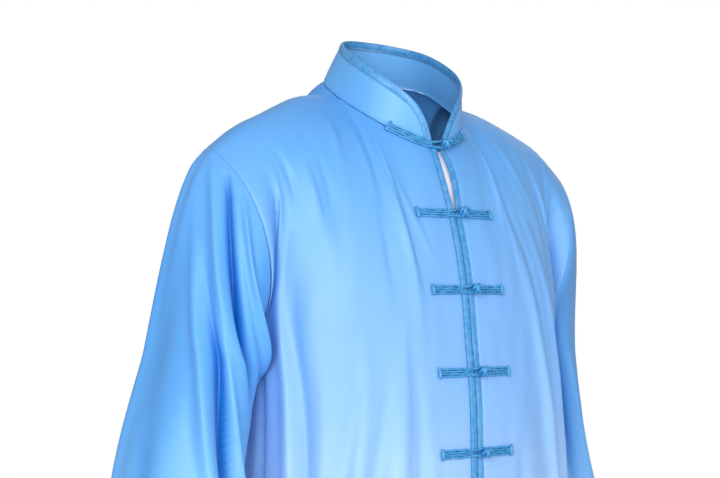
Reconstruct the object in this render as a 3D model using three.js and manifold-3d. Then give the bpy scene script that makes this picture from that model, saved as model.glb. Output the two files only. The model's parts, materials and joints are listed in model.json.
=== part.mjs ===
// A tai chi uniform: a stand-collar jacket with seven knotted frog fastenings, and plain wide trousers.
// Sizes are millimetres. +Z is up, the front faces -Y and the wearer's left is +X. The origin lies midway
// between the two points where the shoulder seams meet the collar, which is where the wearer carries it.
import * as THREE from "three";
import { mergeVertices } from "three/addons/utils/BufferGeometryUtils.js";
import Module from "manifold-3d";

const wasm = await Module();
wasm.setup();

// Cloth and seams
const CLOTH = 1.2;
const SEAM = 0.3;
const BINDING_WIDTH = 8;
const BINDING_PROUD = 0.4;
const UNDERLAP_LINES = [-24, -12, 0, 12, 24, 36];
const UNDERLAP_THICKNESS = 1;
const UNDERLAP_INSET = 6;

// Jacket
const NECK_RADIUS = 74;
const CHEST = 255;
const HEM = 740;
const QUARTER = 290;
const NECK_SHARE = 0.3;
const BODY_SQUARENESS = 2.6;
const COLLAR_HEIGHT = 47;
const COLLAR_TOP_HALF = 66;
const COLLAR_TOP_FORWARD = 14;
const COLLAR_CORNER = 16;
const COLLAR_END = 5.5;

// Frog fastenings
const BAR_START = 8;
const BAR_HALF = 4.6;
const BAR_LOW = 1.4;
const BAR_HIGH = 2.8;
const BAR_BENDS = 3;
const CORDS = 4;
const KNOT_OUT = 6;
const KNOT_RADIUS = 4.8;
const LOOP_RADIUS = 4.2;
const LOOP_CORD = 1.2;
const LOOP_LIFT = 3.3;

// Where each frog sits below the origin and how far its two bars reach. The first one lies on the collar's seam.
const FROGS = [
  { level: 54, loopEnd: 59, knotEnd: 50 },
  { level: 129, loopEnd: 53, knotEnd: 53 },
  { level: 209.5, loopEnd: 50, knotEnd: 50 },
  { level: 295.5, loopEnd: 50, knotEnd: 50 },
  { level: 379, loopEnd: 50, knotEnd: 50 },
  { level: 463, loopEnd: 50, knotEnd: 50 },
  { level: 547, loopEnd: 50, knotEnd: 50 },
];

// Trousers
const WAIST = 430;
const WAISTBAND = 38;
const CROTCH = 690;
const RISE = 95;
const ANKLE = 1400;

// The neckline by degrees from the middle of the front. The rows beyond 0 and 180 join the halves smoothly.
const NECKLINE = [
  { turn: -30, x: -38, y: -65, z: -44 },
  { turn: 0, x: 0, y: -74, z: -54 },
  { turn: 30, x: 38, y: -65, z: -44 },
  { turn: 60, x: 66, y: -38, z: -23 },
  { turn: 90, x: 76, y: 0, z: -1 },
  { turn: 120, x: 71, y: 36, z: 19 },
  { turn: 150, x: 42, y: 61, z: 27 },
  { turn: 180, x: 0, y: 70, z: 29 },
  { turn: 210, x: -42, y: 61, z: 27 },
];

// The shoulder seam from the neckline to the shoulder tip.
const SHOULDER = [
  { along: 0, x: 76, y: 0, z: -1 },
  { along: 0.3, x: 124, y: -3, z: -9 },
  { along: 0.61, x: 174, y: -7, z: -28 },
  { along: 0.8, x: 205, y: -8, z: -43 },
  { along: 1, x: 238, y: -6, z: -67 },
];

// Half-breadth and depths of the jacket's body at each level below the origin.
const BODY = [
  { down: 255, half: 190, front: 131, back: 112 },
  { down: 320, half: 189, front: 139, back: 109 },
  { down: 400, half: 193, front: 142, back: 108 },
  { down: 500, half: 202, front: 145, back: 113 },
  { down: 600, half: 212, front: 149, back: 122 },
  { down: 740, half: 226, front: 156, back: 134 },
];

// How far each front edge stands from the middle: the fronts part between the first two frogs.
const OPENING = [
  { down: 0, right: 0.9, left: 1.6 },
  { down: 10, right: 1.2, left: 3.8 },
  { down: 25, right: 1.4, left: 6.2 },
  { down: 50, right: 1.4, left: 7 },
  { down: 78, right: 0.9, left: 4.2 },
  { down: 98, right: 0.7, left: 0.7 },
  { down: 740, right: 0.7, left: 0.7 },
];

// The start and end directions of the lines that run down each panel from the neck or shoulder to the chest.
// The rows below 0 mirror those above it, so that the middle is smooth.
const FRONT_FALL = [
  { share: -0.15, sx: 0, sy: -135, sz: -190, ey: -16, ez: -215 },
  { share: 0, sx: 0, sy: -96, sz: -195, ey: -16, ez: -205 },
  { share: 0.15, sx: 0, sy: -135, sz: -190, ey: -16, ez: -215 },
  { share: 0.3, sx: 0, sy: -240, sz: -170, ey: -12, ez: -250 },
  { share: 1, sx: -70, sy: -250, sz: -150, ey: -12, ez: -230 },
];
const BACK_FALL = [
  { share: -0.15, sx: -35, sy: 160, sz: -85, ey: 0, ez: -285 },
  { share: 0, sx: 0, sy: 140, sz: -180, ey: 0, ez: -280 },
  { share: 0.15, sx: 35, sy: 160, sz: -85, ey: 0, ez: -285 },
  { share: 0.3, sx: 90, sy: 220, sz: 95, ey: 0, ez: -290 },
  { share: 0.45, sx: 30, sy: 250, sz: 120, ey: 0, ez: -290 },
  { share: 0.7, sx: 0, sy: 260, sz: 70, ey: 0, ez: -280 },
  { share: 1, sx: -50, sy: 240, sz: 110, ey: 0, ez: -230 },
];
const UNDERARM_END = { x: -20, y: 230, z: -60, share: 0.84 };

// Sleeve stations from the upper arm to the cuff: centre, half-width outwards and half-depth fore and aft.
const CAP_FULLNESS = { right: 0.68, left: 0.42 };
const CAP_LENGTH = 200;
const ARM_LENGTH = 370;
const CAP_ARRIVAL = 0.95;
const SLEEVE_SLOPE = { top: 0.71, under: 0.785 };
const ARM = {
  right: [
    { x: 247, y: 5, z: -288, out: 53, fore: 74 },
    { x: 278, y: -6, z: -400, out: 61, fore: 74 },
    { x: 300, y: -30, z: -510, out: 67, fore: 77 },
    { x: 320, y: -62, z: -640, out: 73, fore: 82 },
  ],
  left: [
    { x: 243, y: 42, z: -288, out: 51, fore: 62 },
    { x: 257, y: 44, z: -400, out: 57, fore: 65 },
    { x: 271, y: 40, z: -510, out: 63, fore: 71 },
    { x: 286, y: 28, z: -640, out: 70, fore: 77 },
  ],
};

// Half-breadth and depths of the trousers at the hip, and the centre and radii of each leg below it.
const HIP = [
  { down: 430, half: 158, front: 104, back: 98 },
  { down: 520, half: 170, front: 110, back: 112 },
  { down: 620, half: 180, front: 112, back: 126 },
  { down: 700, half: 184, front: 112, back: 128 },
];
const LEG = [
  { down: 600, x: 94, y: 2, out: 88, fore: 108 },
  { down: 700, x: 95, y: 2, out: 91, fore: 108 },
  { down: 900, x: 101, y: -2, out: 86, fore: 98 },
  { down: 1100, x: 107, y: -4, out: 82, fore: 90 },
  { down: 1400, x: 115, y: 0, out: 82, fore: 90 },
];

// Folds. Each row is one soft ridge, or a trough if its heights are negative: where it starts and ends across
// and down the panel, how far its middle bows, its half-widths, its heights and how far it leans.
const FRONT_RIGHT_FOLDS = [
  { across0: 80, down0: 230, across1: 104, down1: 740, bow: 4, half0: 12, half1: 32, top: 0, mid: 8, foot: 15, lean: 0.2 },
  { across0: 98, down0: 250, across1: 132, down1: 740, bow: 6, half0: 12, half1: 24, top: 0, mid: -5, foot: -10, lean: 0 },
  { across0: 66, down0: 270, across1: 58, down1: 740, bow: 0, half0: 10, half1: 20, top: 0, mid: -4, foot: -8, lean: 0 },
  { across0: 240, down0: 120, across1: 206, down1: 740, bow: -22, half0: 14, half1: 26, top: 0, mid: 8, foot: 12, lean: 0.3 },
  { across0: 206, down0: 150, across1: 180, down1: 740, bow: -8, half0: 12, half1: 24, top: 0, mid: -6, foot: -10, lean: 0 },
];
const FRONT_LEFT_FOLDS = [
  { across0: 56, down0: 50, across1: 132, down1: 740, bow: 24, half0: 10, half1: 24, top: 0, mid: 6, foot: 11, lean: 0.2 },
  { across0: 78, down0: 90, across1: 154, down1: 740, bow: 23, half0: 10, half1: 20, top: 0, mid: -5, foot: -9, lean: 0 },
  { across0: 100, down0: 70, across1: 178, down1: 740, bow: 22, half0: 10, half1: 28, top: 0, mid: 7, foot: 12, lean: 0.2 },
  { across0: 126, down0: 110, across1: 208, down1: 740, bow: 17, half0: 10, half1: 24, top: 0, mid: -6, foot: -9, lean: 0 },
];
const BACK_FOLDS = [
  { across0: -205, down0: 130, across1: -190, down1: 740, bow: 0, half0: 15, half1: 32, top: 0, mid: 9, foot: 14, lean: 0.2 },
  { across0: -120, down0: 240, across1: -128, down1: 740, bow: -4, half0: 14, half1: 30, top: 0, mid: -7, foot: -12, lean: 0 },
  { across0: 122, down0: 220, across1: 112, down1: 740, bow: 5, half0: 14, half1: 32, top: 0, mid: -8, foot: -13, lean: 0 },
  { across0: 208, down0: 140, across1: 200, down1: 740, bow: 0, half0: 15, half1: 30, top: 0, mid: 9, foot: 13, lean: -0.2 },
];

// Sleeve folds run in degrees round the sleeve, 0 outermost, 90 in front and 180 underneath.
const SLEEVE_RIGHT_FOLDS = [
  { across0: 62, down0: 40, across1: 118, down1: 330, bow: -6, half0: 9, half1: 17, top: 0, mid: -11, foot: 0, lean: 0.3 },
  { across0: 96, down0: 60, across1: 138, down1: 300, bow: -4, half0: 12, half1: 18, top: 0, mid: 7, foot: 0, lean: 0 },
  { across0: 40, down0: 150, across1: 84, down1: 570, bow: 0, half0: 10, half1: 18, top: 0, mid: -12, foot: -8, lean: -0.2 },
  { across0: 20, down0: 60, across1: 44, down1: 570, bow: 0, half0: 13, half1: 18, top: 0, mid: 7, foot: 8, lean: 0.2 },
  { across0: 262, down0: 90, across1: 230, down1: 480, bow: 6, half0: 14, half1: 20, top: 0, mid: -9, foot: 0, lean: 0 },
];
const SLEEVE_LEFT_FOLDS = [
  { across0: 58, down0: 50, across1: 100, down1: 360, bow: -5, half0: 12, half1: 18, top: 0, mid: -9, foot: 0, lean: 0.2 },
  { across0: 30, down0: 120, across1: 60, down1: 570, bow: 0, half0: 14, half1: 20, top: 0, mid: 8, foot: 7, lean: 0 },
  { across0: 300, down0: 100, across1: 268, down1: 570, bow: 4, half0: 14, half1: 20, top: 0, mid: -9, foot: -7, lean: 0 },
];
const LEG_FRONT_FOLDS = [
  { across0: 70, down0: 720, across1: 84, down1: 1400, bow: 4, half0: 16, half1: 26, top: 0, mid: 8, foot: 5, lean: 0.2 },
  { across0: 170, down0: 760, across1: 158, down1: 1400, bow: 0, half0: 16, half1: 28, top: 0, mid: -7, foot: -5, lean: 0 },
];
const LEG_BACK_FOLDS = [
  { across0: 90, down0: 700, across1: 76, down1: 1400, bow: 0, half0: 16, half1: 28, top: 0, mid: -8, foot: -5, lean: 0 },
  { across0: 168, down0: 700, across1: 180, down1: 1400, bow: 3, half0: 18, half1: 26, top: 0, mid: 8, foot: 5, lean: -0.2 },
];

// Grid steps
const NECK_STEPS = 6;
const SHOULDER_STEPS = 9;
const ARMHOLE_STEPS = 12;
const SKIRT_STEPS = 9;
const CAP_STEPS = 6;
const ARM_STEPS = 8;
const COLLAR_STEPS = 30;
const LEG_ACROSS_STEPS = 8;
const LEG_DOWN_STEPS = 12;

const vec = (x, y, z) => new THREE.Vector3(x, y, z);
const lerp = THREE.MathUtils.lerp;
const clamp = THREE.MathUtils.clamp;
const smooth = (low, high, x) => THREE.MathUtils.smoothstep(x, low, high);
const steps = (count) => Array.from({ length: count + 1 }, (_, i) => i / count);

// A smooth curve through one named column of a table, read at a place along the column named `along`.
function column(rows, along, key, at) {
  const last = rows.length - 1;
  const x = clamp(at, rows[0][along], rows[last][along]);
  let i = 0;
  while (i < last - 1 && rows[i + 1][along] < x) i += 1;
  const slope = (k) => {
    const a = rows[Math.max(k - 1, 0)];
    const b = rows[Math.min(k + 1, last)];
    return (b[key] - a[key]) / (b[along] - a[along]);
  };
  const span = rows[i + 1][along] - rows[i][along];
  return hermite(rows[i][key], slope(i) * span, rows[i + 1][key], slope(i + 1) * span, (x - rows[i][along]) / span);
}

// The cubic that leaves value a with slope p and reaches value b with slope q.
function hermite(a, p, b, q, t) {
  const s = 1 - t;
  return a * s * s * (1 + 2 * t) + p * t * s * s + b * t * t * (3 - 2 * t) - q * t * t * s;
}

function hermitePoint(a, p, b, q, t) {
  return vec(hermite(a.x, p.x, b.x, q.x, t), hermite(a.y, p.y, b.y, q.y, t), hermite(a.z, p.z, b.z, q.z, t));
}

// The height of all folds of a table at one place. A fold's section is a bell, and its height runs smoothly
// from its top through its middle to its foot.
function foldHeight(folds, across, down) {
  let height = 0;
  for (const f of folds) {
    const t = (down - f.down0) / (f.down1 - f.down0);
    if (t < 0 || t > 1) continue;
    const centre = lerp(f.across0, f.across1, t) + f.bow * 4 * t * (1 - t);
    const offset = across - centre;
    const half = lerp(f.half0, f.half1, t) * (1 + f.lean * Math.sign(offset));
    const rise = t < 0.5 ? lerp(f.top, f.mid, smooth(0, 0.5, t)) : lerp(f.mid, f.foot, smooth(0.5, 1, t));
    height += rise * Math.exp(-1.5 * (offset / half) ** 2);
  }
  return height;
}

// The neckline, by the angle from the middle of the front (0) round to the middle of the back (pi).
function neckline(angle, side) {
  const read = (key) => column(NECKLINE, "turn", key, THREE.MathUtils.radToDeg(angle));
  return vec(side * read("x"), read("y"), read("z"));
}

// The top of a body panel: the neckline, then the shoulder seam out to the shoulder tip.
function panelTop(share, side, back) {
  if (share < NECK_SHARE) {
    const turn = (share / NECK_SHARE) * (Math.PI / 2);
    return neckline(back ? Math.PI - turn : turn, side);
  }
  const read = (key) => column(SHOULDER, "along", key, (share - NECK_SHARE) / (1 - NECK_SHARE));
  return vec(side * read("x"), read("y"), read("z"));
}

// A rounded-square ring of the body: share 0 is the middle of the front or back, 1 is the side seam.
function ringPoint(rows, share, down, side, back) {
  const half = column(rows, "down", "half", down);
  const depth = column(rows, "down", back ? "back" : "front", down);
  const turn = (share * Math.PI) / 2;
  const angle = Math.atan2(half * Math.sin(turn), depth * Math.cos(turn));
  const across = Math.abs(Math.sin(angle)) / half;
  const along = Math.abs(Math.cos(angle)) / depth;
  const reach = (across ** BODY_SQUARENESS + along ** BODY_SQUARENESS) ** (-1 / BODY_SQUARENESS);
  return vec(side * reach * Math.sin(angle), (back ? 1 : -1) * reach * Math.cos(angle), -down);
}

// The jacket's body without folds, by share of the panel and by how far down it the point is.
function bodyPoint(share, down, side, back) {
  if (down >= CHEST) return ringPoint(BODY, share, down, side, back);
  const fall = back ? BACK_FALL : FRONT_FALL;
  const read = (key) => column(fall, "share", key, share);
  const start = vec(side * read("sx"), read("sy"), read("sz"));
  const underarm = vec(side * UNDERARM_END.x, (back ? -1 : 1) * UNDERARM_END.y, UNDERARM_END.z);
  const end = vec(0, read("ey"), read("ez")).lerp(underarm, smooth(UNDERARM_END.share, 1, share));
  const chest = ringPoint(BODY, share, CHEST, side, back);
  return hermitePoint(panelTop(share, side, back), start, chest, end, down / CHEST);
}

// The outward unit normal of a surface given by two parameters, away from the body's own axis.
function normalAt(surface, a, b, da, db) {
  const across = surface(a + da, b).sub(surface(a - da, b));
  const down = surface(a, b + db).sub(surface(a, b - db));
  const normal = across.cross(down).normalize();
  const point = surface(a, b);
  return normal.dot(vec(point.x, point.y, 0.3 * (point.z + CHEST))) < 0 ? normal.negate() : normal;
}

// The jacket's body with its folds, which fade to nothing at the seams and at the front edges.
function jacketPoint(share, down, side, back) {
  const point = bodyPoint(share, down, side, back);
  const edge = smooth(0, 0.1, 1 - share) * smooth(0, 60, down) * (back ? 1 : smooth(0.03, 0.14, share));
  if (edge === 0) return point;
  const folds = back ? BACK_FOLDS : side < 0 ? FRONT_RIGHT_FOLDS : FRONT_LEFT_FOLDS;
  const height = edge * foldHeight(folds, (back ? side : 1) * share * QUARTER, down);
  const surface = (s, d) => bodyPoint(s, d, side, back);
  return point.addScaledVector(normalAt(surface, clamp(share, 0.01, 0.99), clamp(down, 1, HEM - 1), 0.01, 1), height);
}

// Unit normals of a grid of points, pointing away from the reference point of each grid point.
function gridNormals(grid, core, ringed = false) {
  const columns = grid.length;
  const rows = grid[0].length;
  const pick = (i, j) => grid[ringed ? (i + columns) % columns : clamp(i, 0, columns - 1)][clamp(j, 0, rows - 1)];
  const normals = grid.map((line, i) =>
    line.map((_, j) => pick(i + 1, j).clone().sub(pick(i - 1, j))
      .cross(pick(i, j + 1).clone().sub(pick(i, j - 1))).normalize()));
  let outward = 0;
  grid.forEach((line, i) => line.forEach((point, j) => {
    outward += normals[i][j].dot(point.clone().sub(core(i, j)));
  }));
  if (outward < 0) normals.flat().forEach((normal) => normal.negate());
  return normals;
}

// Gives two panels one normal along the seam that they share, so that their walls end in one plane.
function shareNormals(pairs) {
  for (const [a, b] of pairs) {
    const mean = a.clone().add(b).normalize();
    a.copy(mean);
    b.copy(mean);
  }
}

// Draws the points of a seam edge back by half the gap, towards their neighbours in the panel.
function drawBack(edge, neighbours, gap = SEAM / 2) {
  edge.forEach((point, k) => point.addScaledVector(neighbours[k].clone().sub(point).normalize(), gap));
}

// A closed wall: the grid is its outside, and its inside lies `thickness` under it along the normals.
function wall(grid, normals, { thickness = CLOTH, proud = 0, ringed = false } = {}) {
  const columns = grid.length;
  const rows = grid[0].length;
  const outer = grid.map((line, i) => line.map((p, j) => p.clone().addScaledVector(normals[i][j], proud)));
  const inner = grid.map((line, i) => line.map((p, j) => p.clone().addScaledVector(normals[i][j], -thickness - proud)));
  const positions = [...outer.flat(), ...inner.flat()].flatMap((p) => [p.x, p.y, p.z]);
  const at = (i, j, side) => side * columns * rows + (i % columns) * rows + j;
  const index = [];
  const quad = (a, b, c, d) => index.push(a, b, c, a, c, d);
  const across = ringed ? columns : columns - 1;
  for (let i = 0; i < across; i += 1) {
    for (let j = 0; j < rows - 1; j += 1) {
      quad(at(i, j, 0), at(i, j + 1, 0), at(i + 1, j + 1, 0), at(i + 1, j, 0));
      quad(at(i, j, 1), at(i + 1, j, 1), at(i + 1, j + 1, 1), at(i, j + 1, 1));
    }
    quad(at(i, 0, 0), at(i + 1, 0, 0), at(i + 1, 0, 1), at(i, 0, 1));
    quad(at(i, rows - 1, 0), at(i, rows - 1, 1), at(i + 1, rows - 1, 1), at(i + 1, rows - 1, 0));
  }
  if (!ringed) {
    for (let j = 0; j < rows - 1; j += 1) {
      quad(at(0, j, 0), at(0, j, 1), at(0, j + 1, 1), at(0, j + 1, 0));
      quad(at(columns - 1, j, 0), at(columns - 1, j + 1, 0), at(columns - 1, j + 1, 1), at(columns - 1, j, 1));
    }
  }
  return solid(positions, index);
}

// A closed body through rings of equal count, with both ends capped.
function loft(rings) {
  const count = rings[0].length;
  const positions = rings.flat().flatMap((p) => [p.x, p.y, p.z]);
  const index = [];
  for (let r = 0; r < rings.length - 1; r += 1) {
    for (let k = 0; k < count; k += 1) {
      const next = (k + 1) % count;
      const a = r * count + k;
      const b = r * count + next;
      index.push(a, b, b + count, a, b + count, a + count);
    }
  }
  const origin = rings[0][0];
  const u = rings[0][1].clone().sub(origin).normalize();
  const n = rings[1][0].clone().sub(origin).normalize();
  const v = n.clone().cross(u).normalize();
  const flat = rings[0].map((p) => new THREE.Vector2(p.clone().sub(origin).dot(u), p.clone().sub(origin).dot(v)));
  const last = (rings.length - 1) * count;
  const turn = THREE.ShapeUtils.isClockWise(flat);
  for (const [a, b, c] of THREE.ShapeUtils.triangulateShape(flat, [])) {
    index.push(...(turn ? [a, b, c] : [a, c, b]), ...(turn ? [a + last, c + last, b + last] : [a + last, b + last, c + last]));
  }
  return solid(positions, index);
}

// A geometry from points and triangles, turned so that its faces point out.
function solid(positions, index) {
  let volume = 0;
  const corner = (k) => vec(...positions.slice(3 * k, 3 * k + 3));
  for (let t = 0; t < index.length; t += 3) {
    volume += corner(index[t]).dot(corner(index[t + 1]).cross(corner(index[t + 2])));
  }
  const geometry = new THREE.BufferGeometry();
  geometry.setAttribute("position", new THREE.Float32BufferAttribute(positions, 3));
  geometry.setIndex(volume < 0 ? index.map((_, t) => index[t - (t % 3) + (2 - (t % 3))]) : index);
  return geometry;
}

// Joins closed geometries into one.
function joined(geometries) {
  const whole = geometries.map((geometry) => {
    const bare = geometry.clone();
    for (const name of Object.keys(bare.attributes)) if (name !== "position") bare.deleteAttribute(name);
    const merged = mergeVertices(bare, 1e-4);
    const mesh = { numProp: 3, vertProperties: merged.attributes.position.array, triVerts: new Uint32Array(merged.index.array) };
    return new wasm.Manifold(new wasm.Mesh(mesh));
  }).reduce((a, b) => a.add(b));
  const mesh = whole.getMesh();
  const geometry = new THREE.BufferGeometry();
  geometry.setAttribute("position", new THREE.BufferAttribute(mesh.vertProperties, 3));
  geometry.setIndex(new THREE.BufferAttribute(mesh.triVerts, 1));
  return geometry;
}

const material = (color, roughness) => new THREE.MeshStandardMaterial({ color, roughness, metalness: 0 });
const SILK = material(0x6fb3f2, 0.45);
const PALE_SILK = material(0xd9ebfb, 0.5);
const SATIN = material(0x4f9fd0, 0.3);
const PALE_COTTON = material(0xe9e4ee, 0.8);

const uniform = new THREE.Group();

function sew(name, geometry, cloth) {
  const mesh = new THREE.Mesh(geometry, cloth);
  mesh.name = name;
  uniform.add(mesh);
}

// Millimetres of cloth for one unit of share at the front edge, at each level.
function frontScale(down, side) {
  return bodyPoint(0.02, down, side, false).distanceTo(bodyPoint(0, down, side, false)) / 0.02;
}

const edgeOf = (down, side) => column(OPENING, "down", side < 0 ? "right" : "left", down);

const DOWNS = [
  ...steps(ARMHOLE_STEPS).map((t) => t * CHEST),
  ...steps(SKIRT_STEPS).slice(1).map((t) => lerp(CHEST, HEM, t)),
];

// The shares of the columns of one front or half back, from `start` to the side.
function shares(start) {
  return [
    ...steps(NECK_STEPS).map((t) => lerp(start, NECK_SHARE, t)),
    ...steps(SHOULDER_STEPS).slice(1).map((t) => lerp(NECK_SHARE, 1, t)),
  ];
}

// Fronts and back, with one normal along each seam that they share.
function bodyPanels() {
  const front = (side) => {
    const columnStart = DOWNS.map((down) =>
      (edgeOf(down, side) + BINDING_WIDTH + SEAM) / frontScale(down, side));
    return shares(0).map((_, i) => DOWNS.map((down, j) => jacketPoint(shares(columnStart[j])[i], down, side, false)));
  };
  const half = (side) => shares(0).map((share) => DOWNS.map((down) => jacketPoint(share, down, side, true)));
  const right = front(-1);
  const left = front(1);
  const back = [...half(-1).reverse(), ...half(1).slice(1)];
  const axis = (grid) => (i, j) => vec(0, 0, Math.min(grid[i][j].z, -CHEST / 2));
  const normals = [right, left, back].map((grid) => gridNormals(grid, axis(grid)));
  const last = right.length - 1;
  const backLast = back.length - 1;
  [[0, 0, -1], [1, backLast, 1]].forEach(([front01, backEdge, side]) => {
    const frontNormals = normals[front01];
    shareNormals(DOWNS.map((_, j) => [frontNormals[last][j], normals[2][backEdge][j]])
      .filter((_, j) => j === 0 || j >= ARMHOLE_STEPS));
    for (let k = NECK_STEPS; k < last; k += 1) {
      const match = side < 0 ? last - k : backLast - last + k;
      shareNormals([[frontNormals[k][0], normals[2][match][0]]]);
    }
  });
  return { right, left, back, normals };
}

const { right: frontRight, left: frontLeft, back: backPanel, normals: bodyNormals } = bodyPanels();
const [rightNormals, leftNormals, backNormals] = bodyNormals;

// The armhole's points and normals, from the shoulder tip down the front and up the back.
function armhole(side) {
  const frontGrid = side < 0 ? frontRight : frontLeft;
  const frontNormals = side < 0 ? rightNormals : leftNormals;
  const frontEdge = frontGrid.length - 1;
  const backEdge = side < 0 ? 0 : backPanel.length - 1;
  const rows = [...Array(ARMHOLE_STEPS + 1).keys()];
  const frontNormal = (j) => frontNormals[frontEdge][j];
  const backNormal = (j) => backNormals[backEdge][j];
  const meeting = (j) => j === 0 || j === ARMHOLE_STEPS;
  return [
    ...rows.map((j) => ({
      point: frontGrid[frontEdge][j].clone(),
      normals: meeting(j) ? [frontNormal(j), backNormal(j)] : [frontNormal(j)],
    })),
    ...rows.slice(1, -1).reverse().map((j) => ({ point: backPanel[backEdge][j].clone(), normals: [backNormal(j)] })),
  ];
}

// The centre and the two cross directions of the sleeve at a station, 0 at the upper arm and 1 at the cuff.
function armFrame(rows, side, t) {
  const table = rows.map((row, k) => ({ ...row, at: k / (rows.length - 1) }));
  const read = (key, at) => column(table, "at", key, at);
  const centre = (at) => vec(side * read("x", at), read("y", at), read("z", at));
  const along = centre(clamp(t + 0.05, 0, 1)).sub(centre(clamp(t - 0.05, 0, 1))).normalize();
  const fore = vec(0, -1, 0).addScaledVector(along, along.y).normalize();
  const out = fore.clone().cross(along).multiplyScalar(side).normalize();
  return { centre: centre(t), along, fore, out, outHalf: read("out", t), foreHalf: read("fore", t) };
}

function armRing(rows, side, t, turn) {
  const f = armFrame(rows, side, t);
  return f.centre.clone()
    .addScaledVector(f.out, f.outHalf * Math.cos(turn))
    .addScaledVector(f.fore, f.foreHalf * Math.sin(turn));
}

// A sleeve: its cap rounds over from the armhole to the upper arm, and a tube follows the arm to the cuff.
function sleeveGrid(side) {
  const rows = side < 0 ? ARM.right : ARM.left;
  const full = side < 0 ? CAP_FULLNESS.right : CAP_FULLNESS.left;
  const folds = side < 0 ? SLEEVE_RIGHT_FOLDS : SLEEVE_LEFT_FOLDS;
  const hole = armhole(side);
  const count = hole.length;
  const axis = armFrame(rows, side, 0).along;
  const grid = hole.map(({ point }, k) => {
    const turn = (2 * Math.PI * k) / count;
    const ring = armRing(rows, side, 0, turn);
    const reach = ring.distanceTo(point);
    const high = (1 + Math.cos(turn)) / 2;
    const slope = lerp(SLEEVE_SLOPE.under, SLEEVE_SLOPE.top, high);
    const leave = vec(side * Math.cos(slope), 0, -Math.sin(slope)).multiplyScalar(full * reach);
    const arrive = axis.clone().multiplyScalar(reach * CAP_ARRIVAL);
    return [
      ...steps(CAP_STEPS).map((t) => hermitePoint(point, leave, ring, arrive, t)),
      ...steps(ARM_STEPS).slice(1).map((t) => armRing(rows, side, t, turn)),
    ];
  });
  const lengths = [
    ...steps(CAP_STEPS).map((t) => t * CAP_LENGTH),
    ...steps(ARM_STEPS).slice(1).map((t) => CAP_LENGTH + t * ARM_LENGTH),
  ];
  const middle = (j) => grid.reduce((sum, line) => sum.add(line[j]), vec(0, 0, 0)).divideScalar(count);
  const middles = lengths.map((_, j) => middle(j));
  const plain = gridNormals(grid, (i, j) => middles[j], true);
  grid.forEach((line, i) => line.forEach((point, j) => {
    const degrees = (360 * i) / count;
    const height = foldHeight(folds, degrees, lengths[j]) + foldHeight(folds, degrees - 360, lengths[j]);
    point.addScaledVector(plain[i][j], height * smooth(0, 50, lengths[j]));
  }));
  const normals = gridNormals(grid, (i, j) => middles[j], true);
  hole.forEach(({ normals: theirs }, k) => {
    const mean = theirs[0].clone().add(normals[k][0]).normalize();
    [normals[k][0], ...theirs].forEach((normal) => normal.copy(mean));
  });
  return { grid, normals };
}

const rightSleeve = sleeveGrid(-1);
const leftSleeve = sleeveGrid(1);

// The collar without its thickness, by distance round from the middle of the front and height above the seam.
function collarPoint(round, height, side) {
  const angle = round / NECK_RADIUS;
  const base = neckline(angle, side);
  const depth = -COLLAR_TOP_HALF * Math.cos(angle) - COLLAR_TOP_FORWARD;
  const top = vec(side * COLLAR_TOP_HALF * Math.sin(angle), depth, 0);
  const rise = vec(0, 0, 1);
  const lean = vec(top.x - base.x, top.y - base.y, 0);
  const upright = Math.sqrt(Math.max(COLLAR_HEIGHT ** 2 - lean.lengthSq(), 1));
  return base.addScaledVector(rise, (upright * height) / COLLAR_HEIGHT).addScaledVector(lean, height / COLLAR_HEIGHT);
}

const COLLAR_GIRTH = Math.PI * NECK_RADIUS;
const collarNormal = (round, height, side) =>
  normalAt((r, h) => collarPoint(r, h, side), Math.max(round, 1), height, 0.5, 0.5);

// The collar's free edge in its own flat plane: up the rounded front corner and along the top.
function collarEdge() {
  return steps(COLLAR_STEPS / 2).map((t) => {
    const round = COLLAR_END + (COLLAR_GIRTH - COLLAR_END) * t ** 2;
    return { round, height: SEAM + COLLAR_HEIGHT * (1 - Math.exp(-(round - COLLAR_END) / COLLAR_CORNER)) };
  });
}

// A line drawn in from the collar's edge by a distance, in its flat plane.
function collarInset(edge, distance) {
  return edge.map((p, k) => {
    const a = edge[Math.max(k - 1, 0)];
    const b = edge[Math.min(k + 1, edge.length - 1)];
    const run = new THREE.Vector2(b.round - a.round, b.height - a.height).normalize();
    return {
      round: Math.min(p.round + run.y * distance, COLLAR_GIRTH),
      height: Math.max(p.height - run.x * distance, SEAM),
    };
  });
}

// Both halves of a line on the collar, from the right front end round the back to the left.
function roundCollar(line) {
  const half = (side) => line.map(({ round, height }) => ({ round, height, side }));
  return [...half(-1), ...half(1).reverse().slice(1)];
}

function collarParts() {
  const edge = collarEdge();
  const outerLine = roundCollar(edge);
  const innerLine = roundCollar(collarInset(edge, BINDING_WIDTH));
  const panelLine = roundCollar(collarInset(edge, BINDING_WIDTH + SEAM).filter((p) => p.height > 2 * SEAM));
  const place = ({ round, height, side }) => collarPoint(round, height, side);
  const facing = ({ round, height, side }) => collarNormal(round, height, side);
  const panelColumns = panelLine.map((p) => [1, 0.67, 0.33, 0].map((t) => ({ ...p, height: lerp(SEAM, p.height, t) })));
  sew("collar", wall(panelColumns.map((c) => c.map(place)), panelColumns.map((c) => c.map(facing))), SILK);
  const strip = outerLine.map((p, k) => [p, innerLine[k]]);
  const stripNormals = strip.map((pair) => pair.map(facing));
  sew("binding_collar", wall(strip.map((pair) => pair.map(place)), stripNormals, { proud: BINDING_PROUD }), SATIN);
}

// A binding strip down one front edge, drawn from the panel's own surface.
function frontBinding(side) {
  const levels = DOWNS.map((down, j) => (j === 0 ? 0.5 : down));
  const lines = [0, 1].map((t) => levels.map((down) =>
    jacketPoint((edgeOf(down, side) + t * BINDING_WIDTH) / frontScale(down, side), down, side, false)));
  const normals = gridNormals(lines, (i, j) => vec(0, 0, lines[i][j].z));
  return wall(lines, normals, { proud: BINDING_PROUD });
}

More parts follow.
